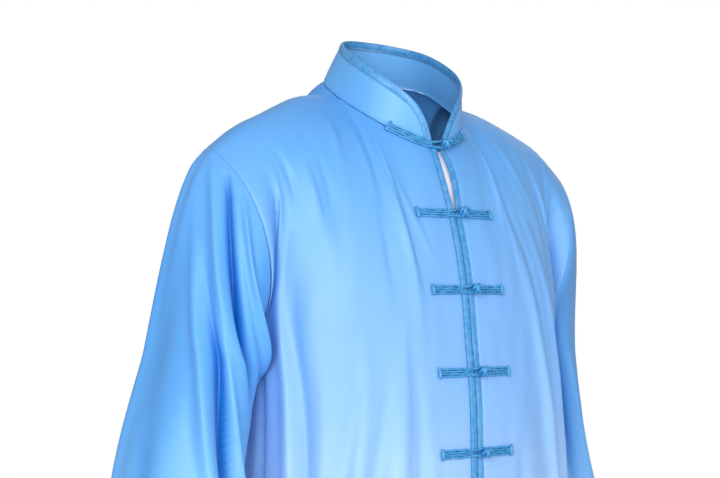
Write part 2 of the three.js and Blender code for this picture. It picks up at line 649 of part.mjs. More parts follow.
// The pale strip behind the front opening, sewn inside the left front.
function underlap() {
  const depth = CLOTH + BINDING_PROUD + SEAM;
  const levels = DOWNS.map((down) => clamp(down, UNDERLAP_INSET, HEM - UNDERLAP_INSET));
  const lines = UNDERLAP_LINES.map((across) => levels.map((down) => {
    const side = across < 0 ? -1 : 1;
    return jacketPoint(Math.abs(across) / frontScale(down, side), down, side, false);
  }));
  const normals = gridNormals(lines, (i, j) => vec(0, 0, lines[i][j].z));
  const sunk = lines.map((line, i) => line.map((p, j) => p.clone().addScaledVector(normals[i][j], -depth)));
  return wall(sunk, normals, { thickness: UNDERLAP_THICKNESS });
}

// The cross-section of a frog's bar: cords side by side on a flat back, as [up, out] pairs.
function barSection(scale, ribbed) {
  const top = steps(2 * CORDS).map((t, k) => [
    lerp(-BAR_HALF, BAR_HALF, t) * scale,
    ribbed ? (k % 2 ? BAR_HIGH : BAR_LOW) : BAR_HIGH * scale,
  ]);
  return [...top, [BAR_HALF * scale, 0], [-BAR_HALF * scale, 0]];
}

// A frog's bar on a surface given by signed distance across and up: cords, then the sewn end.
function frogBar(frameAt, side, start, end) {
  const stations = [
    { across: start, section: barSection(0.75, true) },
    ...steps(BAR_BENDS).map((t) => ({ across: lerp(start + 7, end - 5, t), section: barSection(1, true) })),
    { across: end - 4.9, section: barSection(1.2, false) },
    { across: end, section: barSection(1.2, false) },
  ];
  return loft(stations.map(({ across, section }) => {
    const { point, up, out } = frameAt(side * across);
    return section.map(([y, h]) => point.clone().addScaledVector(up, y).addScaledVector(out, h));
  }));
}

// The two halves of one frog: bar and loop on the right, bar, stem and knot on the left.
function frog(number, { loopEnd, knotEnd }, frameAt) {
  const { point, along, up, out } = frameAt(0);
  const place = (x, y, h) => point.clone().addScaledVector(along, x).addScaledVector(up, y).addScaledVector(out, h);
  const reach = KNOT_OUT + LOOP_RADIUS;
  const route = [
    [-11, 2.6, 1.5], [-4, 2.9, 2.4], [KNOT_OUT - 3, 3.7, LOOP_LIFT], [KNOT_OUT, LOOP_RADIUS, LOOP_LIFT],
    [reach - 1.1, 2.9, LOOP_LIFT], [reach, 0, LOOP_LIFT], [reach - 1.1, -2.9, LOOP_LIFT],
    [KNOT_OUT, -LOOP_RADIUS, LOOP_LIFT], [KNOT_OUT - 3, -3.7, LOOP_LIFT], [-4, -2.9, 2.4], [-11, -2.6, 1.5],
  ];
  const cord = new THREE.Shape().absarc(0, 0, LOOP_CORD, 0, 2 * Math.PI);
  const loop = new THREE.ExtrudeGeometry(cord, {
    steps: 12, curveSegments: 3, bevelEnabled: false,
    extrudePath: new THREE.CatmullRomCurve3(route.map((p) => place(...p))),
  });
  sew(`frog_${number}_loop`, joined([frogBar(frameAt, -1, BAR_START, loopEnd), loop]), SATIN);

  const start = reach + LOOP_CORD + 0.8;
  const tongue = loft([KNOT_OUT - 2, start + 3].map((x) =>
    [[-1.6, 0.1], [-1.6, 1], [1.6, 1], [1.6, 0.1]].map(([y, h]) => place(x, y, h))));
  const turn = new THREE.Quaternion().setFromUnitVectors(vec(0, 1, 0), out);
  const stem = new THREE.CylinderGeometry(1.5, 1.5, LOOP_LIFT + KNOT_RADIUS, 6);
  stem.translate(0, (LOOP_LIFT + KNOT_RADIUS) / 2 + 0.5, 0);
  const knot = new THREE.SphereGeometry(KNOT_RADIUS, 9, 6);
  knot.translate(0, LOOP_LIFT + KNOT_RADIUS, 0);
  for (const piece of [stem, knot]) {
    piece.applyQuaternion(turn);
    piece.translate(...place(KNOT_OUT, 0, 0));
  }
  sew(`frog_${number}_knot`, joined([frogBar(frameAt, 1, start, knotEnd), tongue, stem, knot]), SATIN);
}

// The frame of a frog's bar at a signed distance from the front edge. The bar's flat back stands clear of
// everything under it, and bridges the hollow where the surface is hollow.
function surfaceFrame(surface, across) {
  const along = surface(across + 1.5, 0).sub(surface(across - 1.5, 0)).normalize();
  const high = surface(across, BAR_HALF);
  const low = surface(across, -BAR_HALF);
  const out = along.clone().cross(high.clone().sub(low)).normalize();
  const up = out.clone().cross(along).normalize();
  const point = high.lerp(low, 0.5);
  const bulge = Math.max(surface(across, 0).sub(point).dot(out), 0);
  return { point: point.addScaledVector(out, bulge + BINDING_PROUD + SEAM), along, up, out };
}

// The point of the jacket's front at a distance across from the middle and at a height.
function frontAt(x, z) {
  const side = x < 0 ? -1 : 1;
  let share = Math.abs(x) / frontScale(-z, side);
  let down = -z;
  for (let k = 0; k < 12; k += 1) {
    const point = jacketPoint(share, down, side, false);
    share += (Math.abs(x) - Math.abs(point.x)) / frontScale(down, side);
    down += point.z - z;
  }
  return jacketPoint(Math.max(share, 0), down, side, false);
}

// The surface along the collar seam: the collar above it and the front below it.
function seamAt(across, up) {
  const side = across < 0 ? -1 : 1;
  if (up >= 0) return collarPoint(Math.abs(across), up, side);
  return jacketPoint((Math.abs(across) / NECK_RADIUS / (Math.PI / 2)) * NECK_SHARE, -1.2 * up, side, false);
}

function frogs() {
  FROGS.forEach((row, k) => {
    const surface = k === 0 ? seamAt : (x, up) => frontAt(x, up - row.level);
    frog(k + 1, row, (across) => surfaceFrame(surface, across));
  });
}

// The trousers without folds. Above the crotch a panel runs from the middle seam to the side seam of the hip,
// and below it from the inner to the outer seam of the leg. A quarter-circle rise joins the two at the middle.
function trouserPoint(share, down, side, back) {
  const q = clamp((down - (CROTCH - RISE)) / RISE, 0, 1);
  const leg = lerp(1 - Math.sqrt(1 - q * q), smooth(CROTCH - 130, CROTCH + 130, down), smooth(0, 0.4, share));
  const hip = ringPoint(HIP, share, down, side, back);
  const read = (key) => column(LEG, "down", key, down);
  const turn = Math.PI * share;
  const tube = vec(side * (read("x") - read("out") * Math.cos(turn)),
    read("y") + (back ? 1 : -1) * read("fore") * Math.sin(turn), -down);
  return hip.lerp(tube, leg);
}

// How deep the seat may reach so that it rests just inside the jacket's back.
const seatLimit = (share, down) => jacketPoint(share, down, 1, true).y - CLOTH - SEAM - 0.1;

function trouserGrid(side, back) {
  const folds = back ? LEG_BACK_FOLDS : LEG_FRONT_FOLDS;
  const downs = [
    ...steps(4).map((t) => lerp(WAIST + WAISTBAND + SEAM, CROTCH - RISE, t)),
    ...steps(3).slice(1).map((t) => lerp(CROTCH - RISE, CROTCH, Math.sin(t * (Math.PI / 2)))),
    ...steps(LEG_DOWN_STEPS - 5).slice(1).map((t) => lerp(CROTCH, ANKLE, t)),
  ];
  return steps(LEG_ACROSS_STEPS).map((share) => downs.map((down) => {
    const surface = (s, d) => trouserPoint(s, d, side, back);
    const point = surface(share, down);
    const fade = smooth(0, 0.12, share) * smooth(0, 0.12, 1 - share) * smooth(CROTCH - 20, CROTCH + 60, down);
    if (fade > 0) {
      const centre = vec(side * column(LEG, "down", "x", down), column(LEG, "down", "y", down), -down);
      const outward = point.clone().sub(centre).normalize();
      point.addScaledVector(outward, fade * foldHeight(folds, share * QUARTER, down));
    }
    if (back && down < HEM && share < 0.7) point.y = Math.min(point.y, seatLimit(share, down));
    return point;
  }));
}

function trousers() {
  const grids = {};
  const normals = {};
  for (const side of [-1, 1]) {
    for (const back of [false, true]) {
      const grid = trouserGrid(side, back);
      const key = `${side < 0 ? "right" : "left"}_${back ? "back" : "front"}`;
      const rows = grid[0].length;
      const middles = [...Array(rows).keys()].map((j) => {
        const down = -grid[0][j].z;
        const x = down < CROTCH - RISE / 2 ? 0 : side * column(LEG, "down", "x", down);
        return vec(x, 0, -down);
      });
      grids[key] = grid;
      normals[key] = gridNormals(grid, (i, j) => middles[j]);
    }
  }
  const last = LEG_ACROSS_STEPS;
  for (const name of ["right", "left"]) {
    const [front, back] = [normals[`${name}_front`], normals[`${name}_back`]];
    shareNormals(front[last].map((n, j) => [n, back[last][j]]));
    shareNormals(front[0].map((n, j) => [n, back[0][j]]).filter((_, j) => -grids[`${name}_front`][0][j].z >= CROTCH - 1));
  }
  for (const part of ["front", "back"]) {
    const [right, left] = [normals[`right_${part}`], normals[`left_${part}`]];
    right[0].forEach((n, j) => {
      if (-grids[`right_${part}`][0][j].z < CROTCH - 1) shareNormals([[n, left[0][j]]]);
    });
  }
  for (const [key, grid] of Object.entries(grids)) {
    drawBack(grid[0], grid[1]);
    drawBack(grid[last], grid[last - 1]);
    sew(`trouser_${key}`, wall(grid, normals[key]), PALE_SILK);
  }
}

// The elastic waistband, a plain ring at the top of the trousers.
function waistband() {
  const count = 28;
  const grid = steps(count).slice(0, -1).map((turn) => [0, 0.5, 1].map((t) => {
    const down = lerp(WAIST, WAIST + WAISTBAND, t);
    const quarter = turn * 4;
    const back = quarter >= 1 && quarter < 3;
    const side = quarter < 2 ? 1 : -1;
    const share = quarter < 2 ? (back ? 2 - quarter : quarter) : (back ? quarter - 2 : 4 - quarter);
    return ringPoint(HIP, share, down, side, back);
  }));
  return wall(grid, gridNormals(grid, (i, j) => vec(0, 0, grid[i][j].z), true), { thickness: 2, ringed: true });
}

// Seams are opened by the gap after every panel has its normals.
for (const grid of [frontRight, frontLeft]) {
  drawBack(grid[grid.length - 1], grid[grid.length - 2]);
  drawBack(grid.map((line) => line[0]), grid.map((line) => line[1]));
}
drawBack(backPanel[0], backPanel[1]);
drawBack(backPanel[backPanel.length - 1], backPanel[backPanel.length - 2]);
drawBack(backPanel.map((line) => line[0]), backPanel.map((line) => line[1]));
for (const { grid } of [rightSleeve, leftSleeve]) drawBack(grid.map((line) => line[0]), grid.map((line) => line[1]), SEAM);

sew("front_right", wall(frontRight, rightNormals), SILK);
sew("front_left", wall(frontLeft, leftNormals), SILK);
sew("back", wall(backPanel, backNormals), SILK);
sew("sleeve_right", wall(rightSleeve.grid, rightSleeve.normals, { ringed: true }), SILK);
sew("sleeve_left", wall(leftSleeve.grid, leftSleeve.normals, { ringed: true }), SILK);
collarParts();
sew("binding_right", frontBinding(-1), SATIN);
sew("binding_left", frontBinding(1), SATIN);
sew("underlap", underlap(), PALE_COTTON);
frogs();
trousers();
sew("waistband", waistband(), PALE_SILK);

export default uniform;
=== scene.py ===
# %% [markdown]
# # A tai chi uniform
# The jacket is cut from light silk that is dyed blue at the shoulders and runs out to nearly white at the
# hem. It has a stand collar, satin bindings and seven knotted frogs. Wide trousers go with it.
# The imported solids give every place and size. This lesson lays finer cloth and cords over them.

# %% Load the frame
import json

import bpy
import numpy as np
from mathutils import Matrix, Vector

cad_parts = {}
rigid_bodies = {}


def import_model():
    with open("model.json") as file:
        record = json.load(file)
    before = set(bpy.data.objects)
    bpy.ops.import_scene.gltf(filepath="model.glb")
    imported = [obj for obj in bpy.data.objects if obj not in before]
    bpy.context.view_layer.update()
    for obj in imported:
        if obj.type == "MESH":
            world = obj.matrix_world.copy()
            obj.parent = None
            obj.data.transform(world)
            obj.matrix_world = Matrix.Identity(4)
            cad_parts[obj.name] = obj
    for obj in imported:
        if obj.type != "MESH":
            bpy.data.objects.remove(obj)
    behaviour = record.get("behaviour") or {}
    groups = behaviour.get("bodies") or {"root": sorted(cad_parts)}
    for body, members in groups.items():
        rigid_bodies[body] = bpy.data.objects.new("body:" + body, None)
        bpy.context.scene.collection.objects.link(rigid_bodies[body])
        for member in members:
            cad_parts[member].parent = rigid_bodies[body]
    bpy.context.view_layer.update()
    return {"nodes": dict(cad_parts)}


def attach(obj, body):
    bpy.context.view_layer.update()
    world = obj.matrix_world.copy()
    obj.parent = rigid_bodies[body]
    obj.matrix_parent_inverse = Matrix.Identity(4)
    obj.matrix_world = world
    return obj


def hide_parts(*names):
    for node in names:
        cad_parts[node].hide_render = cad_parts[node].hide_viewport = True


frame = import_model()
print("nodes in the frame:", len(frame["nodes"]))

# %% [markdown]
# The pattern's sizes are written in millimetres, as a maker would, and become metres when a mesh is made.
# The values of the form are those of the solids, so the cloth lies where the solids are. In a fall table, sx
# to sz say how a line leaves the top of the panel, and ey and ez how it reaches the chest.

# %% Sizes of the pattern
METRE = 0.001
CLOTH = 1.0
SEAM = 0.3
BINDING_WIDTH = 8
BINDING_PROUD = 0.4
NECK_RADIUS = 74
CHEST = 255
HEM = 740
QUARTER = 290
NECK_SHARE = 0.3
BODY_SQUARENESS = 2.6


def table(names, rows):
    """A table with named columns: one array for each name."""
    return dict(zip(names.split(), np.array(rows, float).T))


NECKLINE = table("turn x y z", [
    (-30, -38, -65, -44), (0, 0, -74, -54), (30, 38, -65, -44), (60, 66, -38, -23), (90, 76, 0, -1),
    (120, 71, 36, 19), (150, 42, 61, 27), (180, 0, 70, 29), (210, -42, 61, 27)])
SHOULDER = table("along x y z", [
    (0, 76, 0, -1), (0.3, 124, -3, -9), (0.61, 174, -7, -28), (0.8, 205, -8, -43), (1, 238, -6, -67)])
BODY = table("down half front back", [
    (255, 190, 131, 112), (320, 189, 139, 109), (400, 193, 142, 108), (500, 202, 145, 113),
    (600, 212, 149, 122), (740, 226, 156, 134)])
OPENING = table("down right left", [
    (0, 0.9, 1.6), (10, 1.2, 3.8), (25, 1.4, 6.2), (50, 1.4, 7), (78, 0.9, 4.2), (98, 0.7, 0.7),
    (740, 0.7, 0.7)])
FRONT_FALL = table("share sx sy sz ey ez", [
    (-0.15, 0, -135, -190, -16, -215), (0, 0, -96, -195, -16, -205), (0.15, 0, -135, -190, -16, -215),
    (0.3, 0, -240, -170, -12, -250), (1, -70, -250, -150, -12, -230)])
BACK_FALL = table("share sx sy sz ey ez", [
    (-0.15, -35, 160, -85, 0, -285), (0, 0, 140, -180, 0, -280), (0.15, 35, 160, -85, 0, -285),
    (0.3, 90, 220, 95, 0, -290), (0.45, 30, 250, 120, 0, -290), (0.7, 0, 260, 70, 0, -280),
    (1, -50, 240, 110, 0, -230)])
UNDERARM_END = np.array([-20.0, 230.0, -60.0])
UNDERARM_SHARE = 0.84
print("neckline from", NECKLINE["z"].min(), "to", NECKLINE["z"].max(), "mm")

# %% [markdown]
# Cloth has no corners where it hangs free, so every table is read through a smooth cubic. The same small
# helpers serve all pieces, and each works on whole arrays at once.

# %% Helpers for curves and vectors
def smooth(low, high, x):
    """0 up to low, 1 from high, and between them the curve 3t^2 - 2t^3."""
    t = np.clip((np.asarray(x, float) - low) / (high - low), 0, 1)
    return t * t * (3 - 2 * t)


def hermite(a, p, b, q, t):
    """The cubic that leaves a with slope p at t = 0 and reaches b with slope q at t = 1."""
    s = 1 - t
    return a * s * s * (1 + 2 * t) + p * t * s * s + b * t * t * (3 - 2 * t) - q * t * t * s


def column(rows, along, key, at):
    """Reads one column smoothly: a cubic between rows, whose slope at a row is its neighbours' chord."""
    x, y = rows[along], rows[key]
    at = np.clip(at, x[0], x[-1])
    i = np.clip(np.searchsorted(x, at) - 1, 0, len(x) - 2)
    below = np.maximum(np.arange(len(x)) - 1, 0)
    above = np.minimum(np.arange(len(x)) + 1, len(x) - 1)
    slope = (y[above] - y[below]) / (x[above] - x[below])
    span = x[i + 1] - x[i]
    return hermite(y[i], slope[i] * span, y[i + 1], slope[i + 1] * span, (at - x[i]) / span)


def columns(rows, along, keys, at):
    """Reads several columns smoothly, in the order of their names."""
    return [column(rows, along, key, at) for key in keys.split()]


def vectors(x, y, z):
    """Stacks three arrays into points, with the coordinates last."""
    return np.stack(np.broadcast_arrays(x, y, z), -1).astype(float)


def unit(v):
    """Vectors of length 1."""
    return v / np.maximum(np.linalg.norm(v, axis=-1, keepdims=True), 1e-12)


def dot(a, b):
    """Dot products, kept as a last axis of length 1."""
    return (a * b).sum(-1, keepdims=True)


print("halfway through a smooth step:", float(smooth(0, 1, 0.5)))

# %% [markdown]
# The jacket's body hangs from the neckline and the shoulder seams, swells over the chest and falls straight
# to the hem. A grid of two numbers describes it: the share of the panel from its middle to its side, and how
# far down it is. From the top to the chest each line is one cubic, and below it the body is a stack of
# rounded squares. A simulation could drape it, but the worn form is known, so a formula keeps it exact.

# %% The jacket's body
def neckline(angle, side):
    """The neckline at an angle from the middle of the front, 0, to the middle of the back, pi."""
    x, y, z = columns(NECKLINE, "turn", "x y z", np.degrees(angle))
    return vectors(side * x, y, z)


def panel_top(share, side, back):
    """The neckline up to NECK_SHARE, and then the shoulder seam out to the shoulder tip."""
    turn = np.minimum(share / NECK_SHARE, 1) * np.pi / 2
    neck = neckline(np.pi - turn if back else turn, side)
    x, y, z = columns(SHOULDER, "along", "x y z", (share - NECK_SHARE) / (1 - NECK_SHARE))
    return np.where((share < NECK_SHARE)[..., None], neck, vectors(side * x, y, z))


def ring_point(rows, share, down, side, back):
    """A point of the rounded square |x/half|^n + |y/depth|^n = 1: share 0 is the middle and 1 the side."""
    half = column(rows, "down", "half", down)
    depth = column(rows, "down", "back" if back else "front", down)
    angle = np.arctan2(half * np.sin(share * np.pi / 2), depth * np.cos(share * np.pi / 2))
    n = BODY_SQUARENESS
    reach = (np.abs(np.sin(angle) / half) ** n + np.abs(np.cos(angle) / depth) ** n) ** (-1 / n)
    return vectors(side * reach * np.sin(angle), (1 if back else -1) * reach * np.cos(angle), -down)


def body_point(share, down, side, back):
    """The jacket without folds: a cubic from the top to the chest ring, and rings below it."""
    share, down = np.broadcast_arrays(np.asarray(share, float), np.asarray(down, float))
    sx, sy, sz, ey, ez = columns(BACK_FALL if back else FRONT_FALL, "share", "sx sy sz ey ez", share)
    start = vectors(side * sx, sy, sz)
    underarm = UNDERARM_END * (side, -1 if back else 1, 1)
    blend = smooth(UNDERARM_SHARE, 1, share)[..., None]
    end = vectors(0, ey, ez) * (1 - blend) + underarm * blend
    chest = ring_point(BODY, share, np.full_like(down, CHEST), side, back)
    above = hermite(panel_top(share, side, back), start, chest, end, np.clip(down / CHEST, 0, 1)[..., None])
    below = ring_point(BODY, share, np.maximum(down, CHEST), side, back)
    return np.where((down >= CHEST)[..., None], below, above)


def body_normal(share, down, side, back):
    """The outward normal: the cross product of differences over 0.02 of share and 2 mm down."""
    share, down = np.clip(share, 0.01, 0.99), np.clip(down, 1, HEM - 1)
    across = body_point(share + 0.01, down, side, back) - body_point(share - 0.01, down, side, back)
    fall = body_point(share, down + 1, side, back) - body_point(share, down - 1, side, back)
    normal = unit(np.cross(across, fall))
    point = body_point(share, down, side, back)
    return np.where(dot(normal, (point + (0, 0, CHEST)) * (1, 1, 0.3)) < 0, -normal, normal)


print("chest depth:", round(float(body_point(0, 300, 1, True)[1] - body_point(0, 300, 1, False)[1])), "mm")

# %% [markdown]
# Silk falls in long soft folds that start at the shoulders, at the armholes and over the chest, and widen
# downwards. Each row places one ridge, or a trough where its heights are negative: where it starts and ends,
# how far its middle bows, its half-widths, its heights and how much wider one flank is. They were read off
# the photograph one by one, and the sides that it hides have similar ones.

# %% The folds of the body
def folds(*rows):
    """Folds with named values, one for each row."""
    names = "across0 down0 across1 down1 bow half0 half1 top mid foot lean".split()
    return [dict(zip(names, row)) for row in rows]


FRONT_RIGHT_FOLDS = folds(
    (76, 205, 104, 740, 4, 5, 30, 0, 10, 15, 0.25),
    (94, 240, 130, 740, 8, 6, 20, 0, -8, -10, 0),
    (70, 262, 58, 740, 0, 5, 18, 0, -6, -8, 0),
    (54, 330, 40, 740, 0, 6, 18, 0, 3, 4, 0),
    (110, 190, 150, 740, 6, 7, 22, 0, 6, 9, 0.2),
    (128, 260, 170, 740, 6, 7, 18, 0, -4, -6, 0),
    (251, 90, 206, 740, -26, 9, 22, 0, 11, 13, 0.3),
    (214, 140, 184, 740, -10, 9, 20, 0, -9, -11, 0),
    (168, 200, 172, 740, 0, 12, 24, 0, 3.5, 6, 0),
    (268, 170, 260, 740, 0, 8, 13, 0, -8, -13, 0),
    (68, 0, 57, 300, 3, 6, 9, 1.2, 3, 0, 0.2),
    (84, 20, 50, 250, 2, 5, 8, 0, 2.6, 0, 0.3),
    (60, 70, 34, 180, 0, 4, 7, 0, 1.7, 0, 0),
    (75, 10, 72, 120, 0, 4, 7, 0, -1.8, 0, 0),
    (252, 40, 232, 200, 0, 6, 10, 0, 4, 0, 0),
    (238, 30, 206, 150, 0, 6, 9, 0, -3, 0, 0),
    (202, 60, 160, 180, 0, 8, 12, 0, 3.6, 0, 0.3),
    (178, 50, 140, 190, 0, 7, 11, 0, -2.6, 0, 0),
    (150, 30, 176, 240, 0, 22, 30, 0, -4, 0, 0),
    (106, 15, 100, 160, -3, 6, 10, 0, 2.2, 0, 0),
    (128, 8, 140, 100, 2, 5, 9, 0, 1.8, 0, 0),
    (98, 120, 84, 240, 0, 4, 6, 0, -1.8, 0, 0),
)
FRONT_LEFT_FOLDS = folds(
    (52, 30, 132, 740, 26, 6, 20, 0, 7, 12, 0.25),
    (98, 60, 176, 740, 24, 7, 24, 0, 8, 12, 0.2),
    (75, 70, 154, 740, 25, 6, 16, 0, -7, -10, 0),
    (122, 90, 205, 740, 18, 7, 20, 0, -7, -9, 0),
    (160, 60, 240, 620, 12, 8, 20, 0, 6, 0, 0),
    (60, 300, 74, 740, 0, 8, 20, 0, -5, -8, 0),
    (70, 8, 64, 160, 2, 5, 8, 0, 2.6, 0, 0.2),
    (90, 20, 84, 150, 0, 4, 7, 0, -2, 0, 0),
    (120, 10, 150, 130, 0, 6, 10, 0, 2.4, 0, 0),
    (225, 60, 232, 260, 0, 8, 14, 0, -5, 0, 0),
    (190, 40, 204, 200, 0, 7, 12, 0, 3, 0, 0),
)
BACK_FOLDS = folds(
    (-205, 130, -190, 740, 0, 15, 32, 0, 9, 14, 0.2),
    (-168, 180, -158, 740, 4, 10, 22, 0, -6, -9, 0),
    (-120, 240, -128, 740, -4, 14, 30, 0, -7, -12, 0),
    (-96, 260, -92, 740, 3, 8, 20, 0, 4, 8, 0.2),
    (-44, 150, -52, 740, 0, 9, 22, 0, -3, -6, 0),
    (-18, 60, -14, 740, -3, 9, 26, 0, 3, 7, 0),
    (48, 200, 40, 740, 4, 9, 22, 0, -3, -7, 0),
    (80, 130, 76, 740, 0, 10, 24, 0, 5, 9, -0.2),
    (122, 220, 112, 740, 5, 14, 32, 0, -8, -13, 0),
    (165, 190, 158, 740, -4, 9, 20, 0, 4, 8, 0.2),
    (208, 140, 200, 740, 0, 15, 30, 0, 9, 13, -0.2),
    (-140, 20, -96, 150, 0, 7, 12, 0, 2, 0, 0),
    (150, 20, 110, 170, 0, 7, 12, 0, 2, 0, 0),
)


def fold_height(table_of_folds, across, down):
    """The sum of all folds. A fold's section is a bell, and its height runs from top through mid to foot."""
    height = np.zeros(np.broadcast(across, down).shape)
    for f in table_of_folds:
        t = (down - f["down0"]) / (f["down1"] - f["down0"])
        centre = f["across0"] + (f["across1"] - f["across0"]) * t + f["bow"] * 4 * t * (1 - t)
        offset = across - centre
        half = (f["half0"] + (f["half1"] - f["half0"]) * np.clip(t, 0, 1)) * (1 + f["lean"] * np.sign(offset))
        rise = f["top"] + (f["mid"] - f["top"]) * smooth(0, 0.5, t)
        rise += (f["foot"] - f["mid"]) * smooth(0.5, 1, t)
        height += np.where((t >= 0) & (t <= 1), rise, 0) * np.exp(-1.5 * (offset / half) ** 2)
    return height


def ripple(across, down, seed):
    """Faint unevenness of hanging silk: eight long sine waves with seeded directions, about 1 mm in all."""
    draw = np.random.default_rng(seed)
    height = 0
    for _ in range(8):
        wide, long = draw.uniform(24, 70), draw.uniform(140, 420)
        phase, size = draw.uniform(0, 6.28), draw.uniform(0.1, 0.24)
        height = height + size * np.sin(6.283 * (across / wide + down / long * draw.choice([-1, 1])) + phase)
    return height


def seam_dip(distance, along):
    """Cloth pulled in at a seam: a narrow valley, and small puckers that die out within about 10 mm."""
    valley = 0.8 * np.exp(-((distance / 1.7) ** 2))
    pucker = 0.22 * np.exp(-distance / 7) * np.sin(along / 1.9 + 1.3 * np.sin(along / 17))
    return -valley + pucker


def jacket_height(share, down, side, back):
    """The folds of the jacket's body, which fade out at the seams and at the front edges."""
    across = (side if back else 1) * share * QUARTER
    own = BACK_FOLDS if back else FRONT_RIGHT_FOLDS if side < 0 else FRONT_LEFT_FOLDS
    edge = smooth(0, 0.1, 1 - share) * smooth(0, 60, down) * (1 if back else smooth(0.03, 0.14, share))
    return edge * (fold_height(own, across, down) + ripple(across, down, 5 if back else 6 + side))


def jacket_point(share, down, side, back):
    """The jacket's body, raised along its normal by the folds."""
    share, down = np.broadcast_arrays(np.asarray(share, float), np.asarray(down, float))
    height = jacket_height(share, down, side, back)[..., None]
    return body_point(share, down, side, back) + body_normal(share, down, side, back) * height


print("folds on the body:", len(FRONT_RIGHT_FOLDS) + len(FRONT_LEFT_FOLDS) + len(BACK_FOLDS))

# %% [markdown]
# A grid of points becomes cloth when it gets a wall: the grid is its outside, the inside lies one cloth
# thickness under it, and the rims join the two. Such a wall is closed, so light and shadow fall on it as on
# real cloth. Each point also keeps its place on the flat cloth as a UV, in metres, which carries the weave,
# and how deep it lies in a fold, which sets how much shade is painted into its colour.

# %% Cloth from grids
def grid_normals(grid, core, ringed=False):
    """Normals of a grid: the cross product of the differences to its neighbours, turned away from core."""
    if ringed:
        across = np.roll(grid, -1, 0) - np.roll(grid, 1, 0)
    else:
        across = np.gradient(grid, axis=0)
    normals = unit(np.cross(across, np.gradient(grid, axis=1)))
    return -normals if dot(normals, grid - core).sum() < 0 else normals


def grid_faces(columns, rows, ringed, offset=0):
    """Quads between neighbouring columns and rows, with the last column joined to the first if ringed."""
    index = np.arange(columns * rows).reshape(columns, rows) + offset
    near, far = (index, np.roll(index, -1, 0)) if ringed else (index[:-1], index[1:])
    return np.stack([near[:, :-1], near[:, 1:], far[:, 1:], far[:, :-1]], -1).reshape(-1, 4)


def rim_faces(line, count, ringed):
    """Quads from a line of outer points to the inner points, whose numbers are higher by count."""
    ahead = np.roll(line, -1) if ringed else line[1:]
    line = line if ringed else line[:-1]
    return np.stack([ahead, line, line + count, ahead + count], -1)


def outward(points, quads):
    """Turns all faces round if the closed body they make has a negative volume."""
    a, b, c, d = (points[quads[:, k]] for k in range(4))
    volume = (a * np.cross(b, c)).sum() + (a * np.cross(c, d)).sum()
    return quads[:, ::-1] if volume < 0 else quads


def put_mesh(name, parts):
    """Puts closed parts into one mesh. A part is points, quads, UVs, a number of smooth quads, and hollow,
    the weight of painted fold shade.
    """
    counts = np.cumsum([0] + [len(part[0]) for part in parts])
    points = np.concatenate([part[0] for part in parts])
    quads = np.concatenate([outward(part[0], part[1]) + counts[k] for k, part in enumerate(parts)])
    flat = np.concatenate([part[2] for part in parts])
    soft = np.concatenate([np.arange(len(part[1])) < part[3] for part in parts])
    hollow = np.concatenate([np.broadcast_to(part[4], len(part[0])) for part in parts])
    mesh = bpy.data.meshes.new(name)
    mesh.from_pydata(points * METRE, [], quads)
    mesh.uv_layers.new(name="cloth").data.foreach_set("uv", (flat[quads.ravel()] * METRE).ravel())
    mesh.polygons.foreach_set("use_smooth", soft)
    mesh.attributes.new("hollow", "FLOAT", "POINT").data.foreach_set("value", hollow)
    mesh.validate()
    piece = bpy.data.objects.new(name, mesh)
    bpy.context.scene.collection.objects.link(piece)
    print(name, "has", 2 * len(quads), "triangles")
    return piece


def wall(outer, inner, flat, ringed=False, height=None):
    """A closed wall between two grids of one size. Its hollow, the weight of painted fold shade, is 0 on open
    cloth and 1 at 10 mm deep.
    """
    columns, rows = outer.shape[:2]
    count = columns * rows
    index = np.arange(count).reshape(columns, rows)
    faces = grid_faces(columns, rows, ringed)
    rims = [rim_faces(index[:, 0], count, ringed), rim_faces(index[::-1, -1], count, ringed)]
    if not ringed:
        rims += [rim_faces(index[0, ::-1], count, False), rim_faces(index[-1], count, False)]
    quads = np.concatenate([faces, faces[:, ::-1] + count, *rims])
    points = np.concatenate([outer.reshape(-1, 3), inner.reshape(-1, 3)])
    hollow = 0.0 if height is None else np.tile(smooth(0, 10, -height).ravel(), 2)
    return points, quads, np.tile(flat.reshape(-1, 2), (2, 1)), 2 * len(faces), hollow


def cloth(grid, normals, flat, thickness=CLOTH, ringed=False, height=None):
    """A wall whose outside is the grid."""
    return wall(grid, grid - normals * thickness, flat, ringed, height)


PIECES = {}


def finish_piece(name, parts, nodes, cloth_stuff):
    """Makes the piece, lets it stand for its solids, and gives it its finish."""
    piece = put_mesh(name, parts)
    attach(piece, "root")
    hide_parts(*nodes)
    PIECES[name] = (piece, cloth_stuff)
    return piece


# %% [markdown]
# The two fronts and the back are sewn to each other at the shoulders and sides. Their grids are finer near
# every seam, where the cloth turns in, than in the open.

# %% Fronts and back
def front_scale(down, side):
    """Millimetres of cloth for one unit of share at the front edge."""
    step = body_point(0.02, down, side, False) - body_point(0, down, side, False)
    return np.linalg.norm(step, axis=-1) / 0.02


def edge_of(down, side):
    """How far a front edge stands from the middle."""
    return column(OPENING, "down", "right" if side < 0 else "left", down)


NEAR_SEAM = np.array([0, 0.8, 1.6, 2.6, 4, 6, 8.5])
HEM_LEVELS = HEM - np.array([23, 21, 20, 19, 17, 12, 6, 1.5, 0])
DOWNS = np.concatenate([NEAR_SEAM, np.linspace(11.5, HEM - 26, 200), HEM_LEVELS])
HEM_FOLD = 20


def spread(steps, near=True):
    """Shares from 0 to 1, finer at 1, and with near also at 0."""
    edge = NEAR_SEAM[1:] / QUARTER
    inner = np.linspace(0, 1, steps)[2:-3]
    return np.concatenate([[0], edge * near if near else [], inner, 1 - edge[::-1] * 0.9, [1]])


def hem_turn(down, end):
    """The turned-up hem: a fine groove at its stitches, and an edge that rolls in by 0.5 mm."""
    return -0.4 * np.exp(-(((down - end + HEM_FOLD) / 1.6) ** 2)) - 0.5 * smooth(end - 3, end, down)


